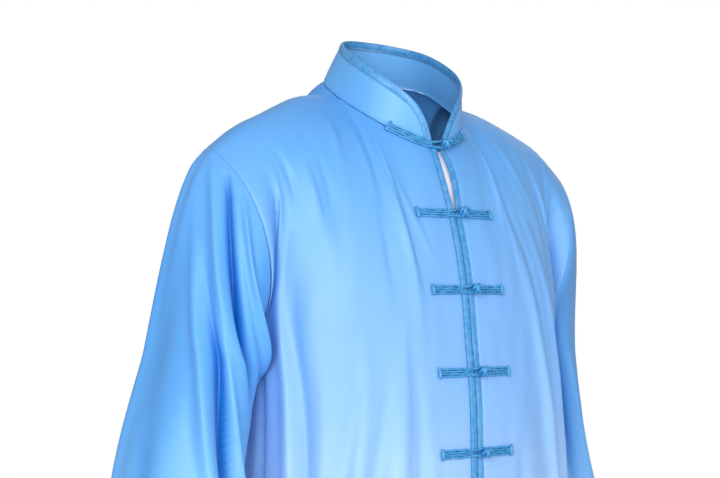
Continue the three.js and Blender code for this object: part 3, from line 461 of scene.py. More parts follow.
def front_panel(side):
    """A front as a grid: shares from the binding to the side seam, by levels from the top to the hem."""
    start = (edge_of(DOWNS, side) + BINDING_WIDTH + SEAM) / front_scale(DOWNS, side)
    neck = spread(44)[:, None] * (NECK_SHARE - start) + start
    rest = spread(92, near=False)[:, None] * (1 - NECK_SHARE) + NECK_SHARE + 0 * start
    share = np.concatenate([neck[: -len(NEAR_SEAM)], rest])
    down = np.broadcast_to(DOWNS, share.shape)
    grid = jacket_point(share, down, side, False)
    normals = grid_normals(grid, np.array([0, 0, -HEM / 2]))
    dip = seam_dip((1 - share) * QUARTER, down) + seam_dip(down, share * QUARTER)
    dip += seam_dip((share - start) * QUARTER, down) * 0.6 + hem_turn(down, HEM)
    grid = grid + normals * dip[..., None]
    flat = np.stack([side * share * QUARTER, -down], -1)
    return grid, normals, flat, jacket_height(share, down, side, False)


def back_panel():
    """The back as one grid from the right side seam to the left one."""
    half = np.concatenate([[0], spread(82, near=False)[1:]])
    signed = np.concatenate([-half[::-1], half[1:]])[:, None]
    share, down = np.broadcast_arrays(np.abs(signed), DOWNS[None])
    middle = len(half) - 1
    grid = np.concatenate([jacket_point(share[:middle], down[:middle], -1, True),
                           jacket_point(share[middle:], down[middle:], 1, True)])
    normals = grid_normals(grid, np.array([0, 0, -HEM / 2]))
    dip = seam_dip((1 - share) * QUARTER, down) + seam_dip(down, share * QUARTER) + hem_turn(down, HEM)
    grid = grid + normals * dip[..., None]
    height = np.where(signed < 0, jacket_height(share, down, -1, True), jacket_height(share, down, 1, True))
    return grid, normals, np.stack([signed * QUARTER + 0 * down, -down], -1), height


for name, side in (("front_right", -1), ("front_left", 1)):
    grid, normals, flat, height = front_panel(side)
    finish_piece(name + "_silk", [cloth(grid, normals, flat, height=height)], [name], "body")
grid, normals, flat, height = back_panel()
finish_piece("back_silk", [cloth(grid, normals, flat, height=height)], ["back"], "body")

# %% [markdown]
# A sleeve is one piece, sewn along the underarm and set into the armhole. Its cap rounds over from the
# armhole to the upper arm, and below that it is a soft tube round the arm, with a deep crease where the arm
# hangs against the body. Rings of points round the arm, one behind the other, give both parts at once. The
# tables give the arm's centreline and half-widths, and folds by their angle from the shoulder tip, forwards.

# %% The sleeves
CAP_LENGTH = 200
ARM_LENGTH = 370
CAP_FULLNESS = {-1: 0.68, 1: 0.42}
SLEEVE_SLOPES = (0.785, 0.71)
ARM = {
    -1: table("x y z out fore", [
        (247, 5, -288, 53, 74), (278, -6, -400, 61, 74), (300, -30, -510, 67, 77), (320, -62, -640, 73, 82)]),
    1: table("x y z out fore", [
        (243, 42, -288, 51, 62), (257, 44, -400, 57, 65), (271, 40, -510, 63, 71), (286, 28, -640, 70, 77)]),
}
for rows in ARM.values():
    rows["at"] = np.linspace(0, 1, 4)
SLEEVE_RIGHT_FOLDS = folds(
    (20, 14, 137, 260, 0, 5, 13, -8, -17, 0, 0.3),
    (42, 14, 196, 270, 6, 7, 12, 4, 11, 0, 0.2),
    (4, 12, 84, 210, 4, 6, 11, 4, 7, 0, 0),
    (18, 70, 132, 520, 19, 5, 15, 0, -19, -13, -0.2),
    (-6, 30, 110, 520, 14, 6, 14, 0, 10, 6, 0.2),
    (46, 130, 158, 540, 14, 6, 14, 0, 10, 6, 0),
    (100, 250, 172, 560, 4, 8, 16, 0, -10, -6, 0.2),
    (-2, 90, 30, 570, 2, 12, 24, 0, -4, -8, 0),
    (-12, 8, -26, 570, 0, 5, 10, 4, 5, 7, 0),
    (-26, 12, -40, 570, 0, 6, 12, -2, -6, -7, 0),
    (262, 90, 230, 480, 6, 14, 20, 0, -9, 0, 0),
    (290, 60, 262, 520, 4, 9, 14, 0, 5, 4, 0),
    (318, 40, 300, 570, 0, 8, 14, 0, -5, -6, 0),
    (110, 250, 128, 570, 0, 9, 14, 0, 4, 6, 0),
    (142, 150, 150, 540, 0, 8, 14, 0, -5, -4, 0),
)
SLEEVE_LEFT_FOLDS = folds(
    (122, 30, 84, 440, -2, 9, 14, 0, -12, 0, 0.2),
    (96, 60, 52, 570, 0, 8, 14, 0, 8, 7, 0),
    (66, 120, 30, 570, 0, 7, 12, 0, -6, -7, 0),
    (30, 90, 6, 570, 0, 9, 16, 0, 7, 7, 0),
    (8, 70, 34, 570, 3, 9, 14, 0, -4, -6, 0),
    (300, 80, 268, 570, 4, 9, 16, 0, -9, -7, 0),
    (326, 50, 300, 570, 0, 8, 14, 0, 5, 5, 0),
    (262, 110, 240, 500, 4, 9, 14, 0, 5, 4, 0),
    (140, 160, 150, 560, 0, 8, 14, 0, -5, -5, 0),
)


def arm_ring(side, t, turn):
    """An ellipse round the arm's centreline, across it at t, with half-widths outwards and forwards."""
    rows = ARM[side]

    def centre(at):
        """The centreline at a share of the arm's length."""
        x, y, z = columns(rows, "at", "x y z", at)
        return vectors(side * x, y, z)

    along = unit(centre(np.clip(t + 0.05, 0, 1)) - centre(np.clip(t - 0.05, 0, 1)))
    fore = unit(np.array([0, -1, 0]) + along * along[..., 1:2])
    out = unit(np.cross(fore, along) * side)
    wide = (column(rows, "at", "out", t) * np.cos(turn))[..., None]
    deep = (column(rows, "at", "fore", t) * np.sin(turn))[..., None]
    return centre(t) + out * wide + fore * deep, along


def armhole(side, turn):
    """The armhole by an angle: down the front from the shoulder tip, 0, and from the underarm, pi, up."""
    down = CHEST * (1 - np.abs(1 - turn / np.pi))
    front = body_point(np.ones_like(down), down, side, False)
    back = body_point(np.ones_like(down), down, side, True)
    return np.where((turn > np.pi)[..., None], back, front)


def sleeve_point(side, turn, length):
    """The sleeve without folds: a cubic from the armhole to the first ring, and rings along the arm."""
    hole = armhole(side, turn)
    ring, axis = arm_ring(side, np.zeros_like(turn), turn)
    reach = np.linalg.norm(ring - hole, axis=-1, keepdims=True)
    high = (1 + np.cos(turn))[..., None] / 2
    slope = SLEEVE_SLOPES[0] + (SLEEVE_SLOPES[1] - SLEEVE_SLOPES[0]) * high[..., 0]
    leave = vectors(side * np.cos(slope), 0 * slope, -np.sin(slope))
    t = np.clip(length / CAP_LENGTH, 0, 1)[..., None]
    cap = hermite(hole, leave * CAP_FULLNESS[side] * reach, ring, axis * reach * 0.95, t)
    arm, _ = arm_ring(side, np.clip((length - CAP_LENGTH) / ARM_LENGTH, 0, 1), turn)
    return np.where((length > CAP_LENGTH)[..., None], arm, cap)


def sleeve(side):
    """A sleeve as a ringed grid that starts and ends at the underarm seam."""
    own = SLEEVE_RIGHT_FOLDS if side < 0 else SLEEVE_LEFT_FOLDS
    whole = CAP_LENGTH + ARM_LENGTH
    ends = np.array([26, 24.5, 21.5, 20, 18.5, 14, 8, 4, 1.5, 0])
    lengths = np.concatenate([NEAR_SEAM, np.linspace(11.5, whole - 29, 150), whole - ends])
    turn, length = np.broadcast_arrays(
        (np.pi + np.linspace(0, 2 * np.pi, 150, endpoint=False))[:, None] % (2 * np.pi), lengths[None])
    grid = sleeve_point(side, turn, length)
    core = grid.mean(0)
    normals = grid_normals(grid, core, ringed=True)
    degrees = np.degrees(turn)
    height = fold_height(own, degrees, length) + fold_height(own, degrees - 360, length)
    height += ripple(np.degrees(np.sin(turn)) * 1.2, length, 11 + side)
    height = height * smooth(0, 36, length)
    grid = grid + normals * height[..., None]
    normals = grid_normals(grid, core, ringed=True)
    under = -0.8 * np.exp(-(((degrees - 180) / 1.1) ** 2))
    dip = seam_dip(length, np.radians(degrees) * 120) + hem_turn(length, whole) + under
    grid = grid + normals * dip[..., None]
    around = np.linspace(-1, 1, 150)[:, None] * 220 + 0 * length
    return grid, normals, np.stack([around, -length], -1), height


for name, side in (("sleeve_right", -1), ("sleeve_left", 1)):
    grid, normals, flat, height = sleeve(side)
    part = cloth(grid, normals, flat, ringed=True, height=height)
    finish_piece(name + "_silk", [part], [name], "sleeve")

# %% [markdown]
# The stand collar is a band of two layers with a rounded corner at each front end. Satin binding runs round
# its free edge and down both fronts. A binding is a bias strip folded over the edge, so it is drawn as a
# lens: full in the middle and thin where it is stitched.

# %% Collar and bindings
COLLAR_HEIGHT = 47
COLLAR_TOP_HALF = 66
COLLAR_TOP_FORWARD = 14
COLLAR_CORNER = 16
COLLAR_END = 5.5
COLLAR_GIRTH = np.pi * NECK_RADIUS


def collar_point(around, height, side):
    """The collar by distance round from the middle of the front and height above its seam."""
    angle = around / NECK_RADIUS
    base = neckline(angle, side)
    top_x = side * COLLAR_TOP_HALF * np.sin(angle)
    top_y = -COLLAR_TOP_HALF * np.cos(angle) - COLLAR_TOP_FORWARD
    lean_x, lean_y = top_x - base[..., 0], top_y - base[..., 1]
    upright = np.sqrt(np.maximum(COLLAR_HEIGHT ** 2 - lean_x ** 2 - lean_y ** 2, 1))
    return base + vectors(lean_x, lean_y, upright) * (height / COLLAR_HEIGHT)[..., None]


def collar_axis(grid):
    """The points of the collar's upright axis that are level with a grid's points."""
    return grid * (0, 0, 1) - (0, COLLAR_TOP_FORWARD / 2, 0)


def collar_edge(count):
    """The free edge in the flat: height rises to its full value as 1 - e^(-x/corner) from the front end."""
    around = COLLAR_END + (COLLAR_GIRTH - COLLAR_END) * np.linspace(0, 1, count) ** 2
    return around, SEAM + COLLAR_HEIGHT * (1 - np.exp(-(around - COLLAR_END) / COLLAR_CORNER))


def collar_inset(around, height, distance):
    """A line drawn in from the edge by a distance, at right angles to it in the flat."""
    run = unit(np.stack([np.gradient(around), np.gradient(height)], -1))
    return (np.minimum(around + run[:, 1] * distance, COLLAR_GIRTH),
            np.maximum(height - run[:, 0] * distance, SEAM))


def both_halves(around, height):
    """One line on the whole collar, from the right front end round the back to the left."""
    side = np.concatenate([np.full(len(around), -1.0), np.full(len(around) - 1, 1.0)])
    back = slice(-2, None, -1)
    return np.concatenate([around, around[back]]), np.concatenate([height, height[back]]), side


def lens(grid, normals, flat, over, under):
    """A strip that is `over` thick outside and `under` inside, by the half circle sqrt(1 - u^2) across it."""
    u = np.linspace(-1, 1, grid.shape[1])[None, :, None]
    crown = np.sqrt(1 - 0.98 * u * u)
    return wall(grid + normals * over * crown, grid - normals * (CLOTH + under * crown), flat)


edge = collar_edge(110)
inner = collar_inset(*edge, BINDING_WIDTH)
low = collar_inset(*edge, BINDING_WIDTH + SEAM)
kept = low[1] > 2 * SEAM
around, top, side = both_halves(low[0][kept], low[1][kept])
levels = np.concatenate([[0, 0.02, 0.04, 0.07], np.linspace(0.12, 1, 14)])
height = SEAM + (top[:, None] - SEAM) * levels
around, side = np.broadcast_arrays(around[:, None], side[:, None], height)[:2]
grid = collar_point(around, height, side)
normals = grid_normals(grid, collar_axis(grid))
belly = 0.5 * np.sin(around / 21) * np.sin(np.pi * height / COLLAR_HEIGHT)
grid = grid + normals * (seam_dip(height - SEAM, around) * 0.8 + belly)[..., None]
finish_piece("collar_silk", [cloth(grid, normals, np.stack([around * side, height], -1), 1.2)],
             ["collar"], "collar")

across = np.linspace(0, 1, 9)
outer_line, inner_line = both_halves(*edge), both_halves(*inner)
around, height = (
    o[:, None] + (i[:, None] - o[:, None]) * across for o, i in zip(outer_line[:2], inner_line[:2]))
side = np.broadcast_to(outer_line[2][:, None], around.shape)
grid = collar_point(around, height, side)
normals = grid_normals(grid, collar_axis(grid))
along = np.concatenate([[0], np.linalg.norm(np.diff(grid[:, 4], axis=0), axis=-1).cumsum()])
flat = np.stack(np.broadcast_arrays(across * BINDING_WIDTH, along[:, None]), -1)
finish_piece("binding_collar_satin", [lens(grid, normals, flat, 1.0, 0.9)], ["binding_collar"],
             "binding")

for name, side in (("binding_right", -1), ("binding_left", 1)):
    down = np.concatenate([[0.5, 3, 6, 10], np.linspace(14, HEM, 240)])[None]
    gap = edge_of(down, side) + across[:, None] * BINDING_WIDTH
    grid = jacket_point(gap / front_scale(down, side), np.broadcast_to(down, gap.shape), side, False)
    normals = grid_normals(grid, grid * (0, 0, 1))
    swell = 0.15 * np.sin(down / 3.1 + 2 * np.sin(down / 37))
    grid = (grid + normals * swell[..., None]).transpose(1, 0, 2)
    flat = np.stack(np.broadcast_arrays(across * BINDING_WIDTH, down.T), -1)
    finish_piece(name + "_satin", [lens(grid, normals.transpose(1, 0, 2), flat, 0.9, 0.6)], [name],
                 "binding")

# %% [markdown]
# Behind the opening a pale cotton strip keeps the chest covered where the fronts part.

# %% The underlap
UNDERLAP_DEPTH = 4
across = np.linspace(-24, 36, 25)[:, None]
down = np.linspace(6, HEM - 6, 240)[None]
right = jacket_point(np.abs(across) / front_scale(down, -1), down + 0 * across, -1, False)
left = jacket_point(np.abs(across) / front_scale(down, 1), down + 0 * across, 1, False)
grid = np.where((across < 0)[..., None], right, left)
normals = grid_normals(grid, grid * (0, 0, 1))
grid = grid - normals * UNDERLAP_DEPTH
flat = np.stack(np.broadcast_arrays(across, -down), -1)
finish_piece("underlap_cotton", [cloth(grid, normals, flat, 0.8)], ["underlap"], "underlap")

# %% [markdown]
# A frog is made of satin cord: on each front a bar of four cords lies side by side and ends under a sewn
# wrap, the right one goes on into a loop, and the left one ends in a button knot. Every cord is a tube
# carried along a path that is laid on the cloth, so the frogs follow the chest.

# %% Tubes and the front's surface
def tube(path, out, radius, sides=8, squash=1.0):
    """A closed tube: circles of the radius across the path, flattened along `out`, shrunk at both ends."""
    tangent = unit(np.gradient(path, axis=0))
    across = unit(np.cross(tangent, out))
    lift = np.cross(across, tangent)
    turn = np.linspace(0, 2 * np.pi, sides, endpoint=False)[None, :, None]
    radius = np.broadcast_to(radius, len(path)) * 1.0
    ring = across[:, None] * np.cos(turn) + lift[:, None] * np.sin(turn) * squash
    body = path[:, None] + ring * radius[:, None, None]
    caps = [path[k][None, None] + ring[[k]] * radius[k] * 0.02 for k in (0, -1)]
    grid = np.concatenate([caps[0], body, caps[1]])
    return ringed_part(grid.transpose(1, 0, 2))


def ringed_part(grid):
    """A closed body from a ringed grid whose first and last rows have shrunk to a point."""
    columns, rows = grid.shape[:2]
    length = np.linalg.norm(np.diff(grid, axis=1), axis=-1).mean(0)
    along = np.concatenate([[0], length.cumsum()])
    flat = np.stack(np.broadcast_arrays(np.linspace(0, 7, columns)[:, None], along[None]), -1)
    quads = grid_faces(columns, rows, True)
    return grid.reshape(-1, 3), quads, flat.reshape(-1, 2), len(quads), 0.0


def sampled(points, count):
    """A smooth path through a few points: a cubic in each coordinate, read at equal steps."""
    points = np.array(points, float)
    rows = {"at": np.arange(len(points), dtype=float), **dict(zip("xyz", points.T))}
    at = np.linspace(0, len(points) - 1, count)
    return np.stack([column(rows, "at", key, at) for key in "xyz"], -1)


def front_at(x, z):
    """The point of the fronts at a distance across and a height, found by twelve corrections."""
    x, z = np.broadcast_arrays(np.asarray(x, float), np.asarray(z, float))
    found = np.zeros(x.shape + (3,))
    for side in (-1, 1):
        share, down = np.abs(x) / front_scale(-z, side), -z
        for _ in range(12):
            point = jacket_point(np.maximum(share, 0), down, side, False)
            share = share + (np.abs(x) - np.abs(point[..., 0])) / front_scale(down, side)
            down = down + point[..., 2] - z
        point = jacket_point(np.maximum(share, 0), down, side, False)
        found = np.where((np.sign(x + 1e-9) == side)[..., None], point, found)
    return found


def seam_at(across, up):
    """The surface at the collar's seam: the collar above it and the fronts below it."""
    across, up = np.broadcast_arrays(np.asarray(across, float), np.asarray(up, float))
    found = np.zeros(across.shape + (3,))
    for side in (-1, 1):
        collar = collar_point(np.abs(across), np.maximum(up, 0), side)
        share = np.abs(across) / NECK_RADIUS / (np.pi / 2) * NECK_SHARE
        front = jacket_point(share, np.maximum(-1.2 * up, 0), side, False)
        point = np.where((up >= 0)[..., None], collar, front)
        found = np.where((np.sign(across + 1e-9) == side)[..., None], point, found)
    return found


# %% [markdown]
# A bar is laid out from a frame at each point: along the bar, up the cloth and out of it. The frame is read
# at both edges of the bar, so that the bar bridges a hollow as stiff cord does.

# %% The frogs' frames
FROGS = table("level loop_end knot_end", [
    (54, 59, 50), (129, 53, 53), (209.5, 50, 50), (295.5, 50, 50), (379, 50, 50), (463, 50, 50),
    (547, 50, 50)])
BAR_START = 8
BAR_HALF = 4.6
KNOT_OUT = 6
KNOT_RADIUS = 5.2
LOOP_RADIUS = 4.2
LOOP_LIFT = 3.3
CORD_RADIUS = 1.2
STRAND_RADIUS = 1.25
WRAP_HALF = 5.7
print("frogs:", len(FROGS["level"]))


def surface_frame(surface, across):
    """Point, along, up and out of a bar at distances across. It bridges hollows and clears the bindings."""
    along = unit(surface(across + 1.5, 0) - surface(across - 1.5, 0))
    high, low = surface(across, BAR_HALF), surface(across, -BAR_HALF)
    out = unit(np.cross(along, high - low))
    up = unit(np.cross(out, along))
    point = (high + low) / 2
    bulge = np.maximum(dot(surface(across, 0) - point, out), 0)
    return point + out * (bulge + BINDING_PROUD + SEAM), along, up, out


def bar(surface, side, start, end):
    """Four cords from the start to the sewn end, pinched together at the start, and the wrap over the end."""
    across = np.linspace(start, end - 3, 30)
    point, _, up, out = surface_frame(surface, side * across)
    pinch = 0.72 + 0.28 * smooth(start, start + 8, across)
    parts = []
    for k, offset in enumerate((-3.75, -1.25, 1.25, 3.75)):
        wave = 0.2 * np.sin(across / 2.3 + k * 2.1)
        lift = 1.2 + 0.45 * (abs(offset) < 2) + 0.2 * np.sin(across / 3.7 + k)
        path = point + up * (offset * pinch + wave)[:, None] + out * lift[:, None]
        parts.append(tube(path, out, CORD_RADIUS * (0.9 + 0.1 * pinch)))
    point, _, up, out = surface_frame(surface, side * np.array([end - 3.0]))
    rise = np.linspace(-WRAP_HALF, WRAP_HALF, 13)
    dome = 0.7 + 1.7 * np.sqrt(1 - (rise / 6.2) ** 2)
    path = point + up * rise[:, None] + out * dome[:, None]
    radius = 1.9 - 0.5 * (rise / WRAP_HALF) ** 4
    parts.append(tube(path, np.repeat(out, 13, 0), radius, 10, 0.85))
    return parts


def button_knot(centre, along, up, out):
    """A ball of cord: three closed rounds on tilted great circles that rise and dip as they cross."""
    turn = np.linspace(0, 2 * np.pi, 49)[:, None]
    parts = []
    for k in range(3):
        tilt = np.pi * k / 3
        u = along * np.cos(tilt) + up * np.sin(tilt)
        v = out * 0.86 + (up * np.cos(tilt) - along * np.sin(tilt)) * 0.5
        w = u * np.cos(turn) + unit(v) * np.sin(turn)
        radius = KNOT_RADIUS - 0.4 + 0.55 * np.sin(3 * turn + 2.1 * k)
        parts.append(tube(centre + w * radius, unit(w), 1.75))
    height = np.linspace(-0.999, 0.999, 9)[None, :, None]
    around = np.linspace(0, 2 * np.pi, 12, endpoint=False)[:, None, None]
    wide = np.sqrt(1 - height ** 2)
    ball = centre + 3.6 * (along * wide * np.cos(around) + up * wide * np.sin(around) + out * height)
    parts.append(ringed_part(ball))
    return parts


def finish_frog(node, parts):
    """One half of a frog, in satin cord, in place of its solid."""
    finish_piece(node + "_cord", parts, [node], "cord")


def frog(number, loop_end, knot_end, surface):
    """The two halves of one frog, laid out from the frame at the front edge."""
    point, along, up, out = (v[0] for v in surface_frame(surface, np.array([0.0])))

    def place(rows):
        """Rows of distances along, up and out from the front edge, as points."""
        rows = np.atleast_2d(np.array(rows, float))
        return point + along * rows[:, :1] + up * rows[:, 1:2] + out * rows[:, 2:3]

    reach = KNOT_OUT + LOOP_RADIUS
    route = [
        (-11, 2.6, 1.5), (-4, 2.9, 2.4), (KNOT_OUT - 3, 3.7, LOOP_LIFT), (KNOT_OUT, LOOP_RADIUS, LOOP_LIFT),
        (reach - 1.1, 2.9, LOOP_LIFT), (reach, 0, LOOP_LIFT), (reach - 1.1, -2.9, LOOP_LIFT),
        (KNOT_OUT, -LOOP_RADIUS, LOOP_LIFT), (KNOT_OUT - 3, -3.7, LOOP_LIFT), (-4, -2.9, 2.4),
        (-11, -2.6, 1.5)]
    path = place(sampled(route, 56))
    loop = tube(path, np.repeat(out[None], 56, 0), STRAND_RADIUS)
    finish_frog(f"frog_{number}_loop", bar(surface, -1, BAR_START, loop_end) + [loop])

    start = reach + CORD_RADIUS + 0.8
    middle = place([(KNOT_OUT, 0, LOOP_LIFT + KNOT_RADIUS)])[0]
    stem = place(sampled([(start + 4, 0, 1.2), (start - 1, 0, 1.1), (KNOT_OUT + 1.5, 0, 1.3),
                          (KNOT_OUT, 0, 3.5), (KNOT_OUT, 0, 6)], 16))
    tongue = tube(stem, np.repeat(up[None], 16, 0), STRAND_RADIUS)
    knot = button_knot(middle, along, up, out)
    finish_frog(f"frog_{number}_knot", bar(surface, 1, start, knot_end) + [tongue] + knot)


def frog_surface(number, level):
    """The first frog lies on the collar's seam and the others on the fronts at their levels."""
    return seam_at if number == 1 else lambda x, up: front_at(x, up - level)


for k, (level, loop_end, knot_end) in enumerate(zip(*FROGS.values())):
    frog(k + 1, loop_end, knot_end, frog_surface(k + 1, level))

# %% [markdown]
# The trousers have four panels. Above the crotch each runs from the middle seam to the side of the hip, and
# below it from the inner seam of the leg to the outer one. A quarter-circle rise joins the two. They hang
# from an elastic waistband, so small gathers start there and fade.

# %% The trousers
WAIST = 430
WAISTBAND = 38
CROTCH = 690
RISE = 95
SEAT_SPREAD = 280
ANKLE = 1400
HIP = table("down half front back", [
    (430, 158, 104, 98), (520, 170, 110, 112), (620, 180, 112, 126), (700, 184, 112, 128)])
LEG = table("down x y out fore", [
    (600, 94, 2, 88, 108), (700, 95, 2, 91, 108), (900, 101, -2, 86, 98), (1100, 107, -4, 82, 90),
    (1400, 115, 0, 82, 90)])
LEG_FRONT_FOLDS = folds(
    (70, 720, 84, 1400, 4, 10, 24, 0, 8, 5, 0.2),
    (110, 740, 116, 1400, 3, 8, 18, 0, -5, -4, 0),
    (140, 700, 136, 1400, 0, 5, 9, 1, 3, 3, 0),
    (170, 760, 158, 1400, 0, 12, 24, 0, -7, -5, 0),
    (206, 700, 200, 1400, -4, 10, 20, 0, 5, 4, 0.2),
    (236, 780, 240, 1400, 0, 8, 16, 0, -4, -3, 0),
)
LEG_BACK_FOLDS = folds(
    (60, 720, 52, 1400, 0, 9, 18, 0, 5, 4, 0),
    (90, 700, 76, 1400, 0, 12, 26, 0, -8, -5, 0),
    (128, 720, 132, 1400, -4, 8, 18, 0, 5, 4, 0.2),
    (168, 700, 180, 1400, 3, 14, 24, 0, 8, 5, -0.2),
    (214, 740, 220, 1400, 0, 10, 18, 0, -5, -4, 0),
)
RISE_LEVELS = CROTCH - RISE + RISE * np.sin(np.linspace(0, np.pi / 2, 26))[1:]
LEG_ENDS = ANKLE - np.array([26, 24, 21.5, 20, 18.5, 13, 6, 2, 0])
TROUSER_LEVELS = np.concatenate([
    np.linspace(WAIST + WAISTBAND + SEAM, CROTCH - RISE, 42), RISE_LEVELS,
    np.linspace(CROTCH, ANKLE - 30, 150)[1:], LEG_ENDS])


def trouser_point(share, down, side, back):
    """Above the rise the hip's ring, below it the leg's tube, and between them a quarter circle."""
    q = np.clip((down - (CROTCH - RISE)) / RISE, 0, 1)
    open_out = smooth(0, 0.4, share)
    leg = (1 - np.sqrt(1 - q * q)) * (1 - open_out) + smooth(CROTCH - 130, CROTCH + 130, down) * open_out
    x, y, half_across, half_deep = columns(LEG, "down", "x y out fore", down)
    tube_x = side * (x - half_across * np.cos(np.pi * share))
    tube_y = y + (1 if back else -1) * half_deep * np.sin(np.pi * share)
    hip = ring_point(HIP, share, down, side, back)
    return hip * (1 - leg[..., None]) + vectors(tube_x, tube_y, -down) * leg[..., None]


def seat_limit(x, down, side):
    """How far back the trousers may reach inside the jacket: its depth at the same x, less wall and gap."""
    share = np.abs(x) / SEAT_SPREAD
    for _ in range(8):
        missing = np.abs(x) - np.abs(jacket_point(share, down, side, True)[..., 0])
        share = np.clip(share + missing / SEAT_SPREAD, 0, 1)
    return jacket_point(share, down, side, True)[..., 1] - CLOTH - 2


def trouser_panel(side, back):
    """One panel: the plain form, gathers under the waistband, folds down the leg, and the seams' valleys."""
    edge = NEAR_SEAM / QUARTER
    shares = np.concatenate([edge, np.linspace(0.045, 0.955, 56), 1 - edge[::-1]])
    share, down = np.broadcast_arrays(shares[:, None], TROUSER_LEVELS[None])
    grid = trouser_point(share, down, side, back)
    centre = vectors(side * column(LEG, "down", "x", down), column(LEG, "down", "y", down), -down)
    fade = smooth(0, 0.12, share) * smooth(0, 0.12, 1 - share) * smooth(CROTCH - 20, CROTCH + 60, down)
    height = fold_height(LEG_BACK_FOLDS if back else LEG_FRONT_FOLDS, share * QUARTER, down)
    height += ripple(share * QUARTER, down, 20 + side + 3 * back)
    grid = grid + unit(grid - centre) * (fade * height)[..., None]
    if back:
        limit = seat_limit(grid[..., 0], np.minimum(down, HEM), side)
        free = smooth(HEM, HEM + 60, down) * 30
        grid[..., 1] = np.where(share < 0.8, np.minimum(grid[..., 1], limit + free), grid[..., 1])
    normals = grid_normals(grid, centre * (0.4, 1, 1))
    along = share * QUARTER
    gathers = -1.3 * np.exp(-(down - WAIST - WAISTBAND) / 55) * (1 + np.sin(along / 2.1 + np.sin(along / 9)))
    dip = seam_dip(share * QUARTER, down) + seam_dip((1 - share) * QUARTER, down)
    dip += hem_turn(down, ANKLE) + gathers
    grid = grid + normals * dip[..., None]
    return grid, normals, np.stack([along * side * (-1 if back else 1), -down], -1)


for side, sided in ((-1, "right"), (1, "left")):
    for back, faced in ((False, "front"), (True, "back")):
        name = f"trouser_{sided}_{faced}"
        grid, normals, flat = trouser_panel(side, back)
        finish_piece(name + "_silk", [cloth(grid, normals, flat)], [name], "trousers")

# %% [markdown]
# The waistband is one closed ring of doubled silk over elastic. The elastic gathers it into fine upright
# ribs, and rows of stitches run round it.

# %% The waistband
RIBS = 75
turn = np.linspace(0, 4, 480, endpoint=False)[:, None]
down = WAIST + WAISTBAND * np.linspace(0, 1, 15)[None]
turn, down = np.broadcast_arrays(turn, down)
mirrored = np.where(turn < 2, turn, 4 - turn)
share = np.where(mirrored < 1, mirrored, 2 - mirrored)
quarters = {(s, b): ring_point(HIP, share, down, s, b) for s in (-1, 1) for b in (False, True)}
ahead = np.where((turn < 2)[..., None], quarters[1, False], quarters[-1, False])
behind = np.where((turn < 2)[..., None], quarters[1, True], quarters[-1, True])
grid = np.where((mirrored >= 1)[..., None], behind, ahead)
normals = grid_normals(grid, grid * (0, 0, 1), ringed=True)
channels = np.cos((down - WAIST) / WAISTBAND * 6 * np.pi)
ribs = 0.5 * np.sin(turn * RIBS + np.sin(turn * 13)) * (0.6 + 0.4 * channels) - 0.5
grid = grid + normals * ribs[..., None]
finish_piece("waistband_elastic", [cloth(grid, normals, np.stack([turn * 240, -down], -1), 1.8, ringed=True)],
             ["waistband"], "trousers")

# %% [markdown]
# Now the finishes. Satin-faced silk has a fine weave, a soft broad gloss and a paler sheen at grazing angles.
# The dye is strongest at the shoulders and runs out downwards, so its colour is a ramp over the height. The
# weave is two sets of fine threads on the UVs, and a slow noise makes the dye and the gloss uneven. Shade is
# painted into the silk's colour where it lies deep in a fold.

# %% Finishes
def dye(code):
    """A colour from its hex code, as the linear numbers that a shader takes."""
    srgb = np.array([int(code[k:k + 2], 16) for k in (0, 2, 4)]) / 255
    linear = np.where(srgb <= 0.04045, srgb / 12.92, ((srgb + 0.055) / 1.055) ** 2.4)
    return (*linear, 1.0)


def add(tree, kind, **settings):
    """Adds a node and sets its properties."""
    node = tree.nodes.new(kind)
    for key, value in settings.items():
        setattr(node, key, value)
    return node


def join(tree, source, target):
    """Links an output to an input."""
    tree.links.new(source, target)


def hold(shader, values):
    """Sets constants on the shader's own sockets."""
    for socket, value in values.items():
        shader.inputs[socket].default_value = value


def start_finish(name):
    """A new material, with its Principled shader."""
    stuff = bpy.data.materials.new(name)
    stuff.use_nodes = True
    return stuff, stuff.node_tree, stuff.node_tree.nodes["Principled BSDF"]


def noise(tree, source, scale, detail=2.0, stretch=(1, 1, 1)):
    """Noise on given coordinates, stretched by a Mapping node."""
    mapping = add(tree, "ShaderNodeMapping")
    mapping.inputs["Scale"].default_value = stretch
    pattern = add(tree, "ShaderNodeTexNoise")
    pattern.inputs["Scale"].default_value = scale
    pattern.inputs["Detail"].default_value = detail
    join(tree, source, mapping.inputs["Vector"])
    join(tree, mapping.outputs["Vector"], pattern.inputs["Vector"])
    return pattern.outputs["Fac"]


def remap(tree, source, low, high, to_low, to_high):
    """Carries the range low..high to another one, without going past it."""
    node = add(tree, "ShaderNodeMapRange")
    for socket, value in zip(("From Min", "From Max", "To Min", "To Max"), (low, high, to_low, to_high)):
        node.inputs[socket].default_value = value
    join(tree, source, node.inputs["Value"])
    return node.outputs["Result"]


def multiply(tree, color, factor):
    """A colour times a grey factor."""
    node = add(tree, "ShaderNodeVectorMath", operation="SCALE")
    join(tree, color, node.inputs[0])
    join(tree, factor, node.inputs["Scale"])
    return node.outputs["Vector"]


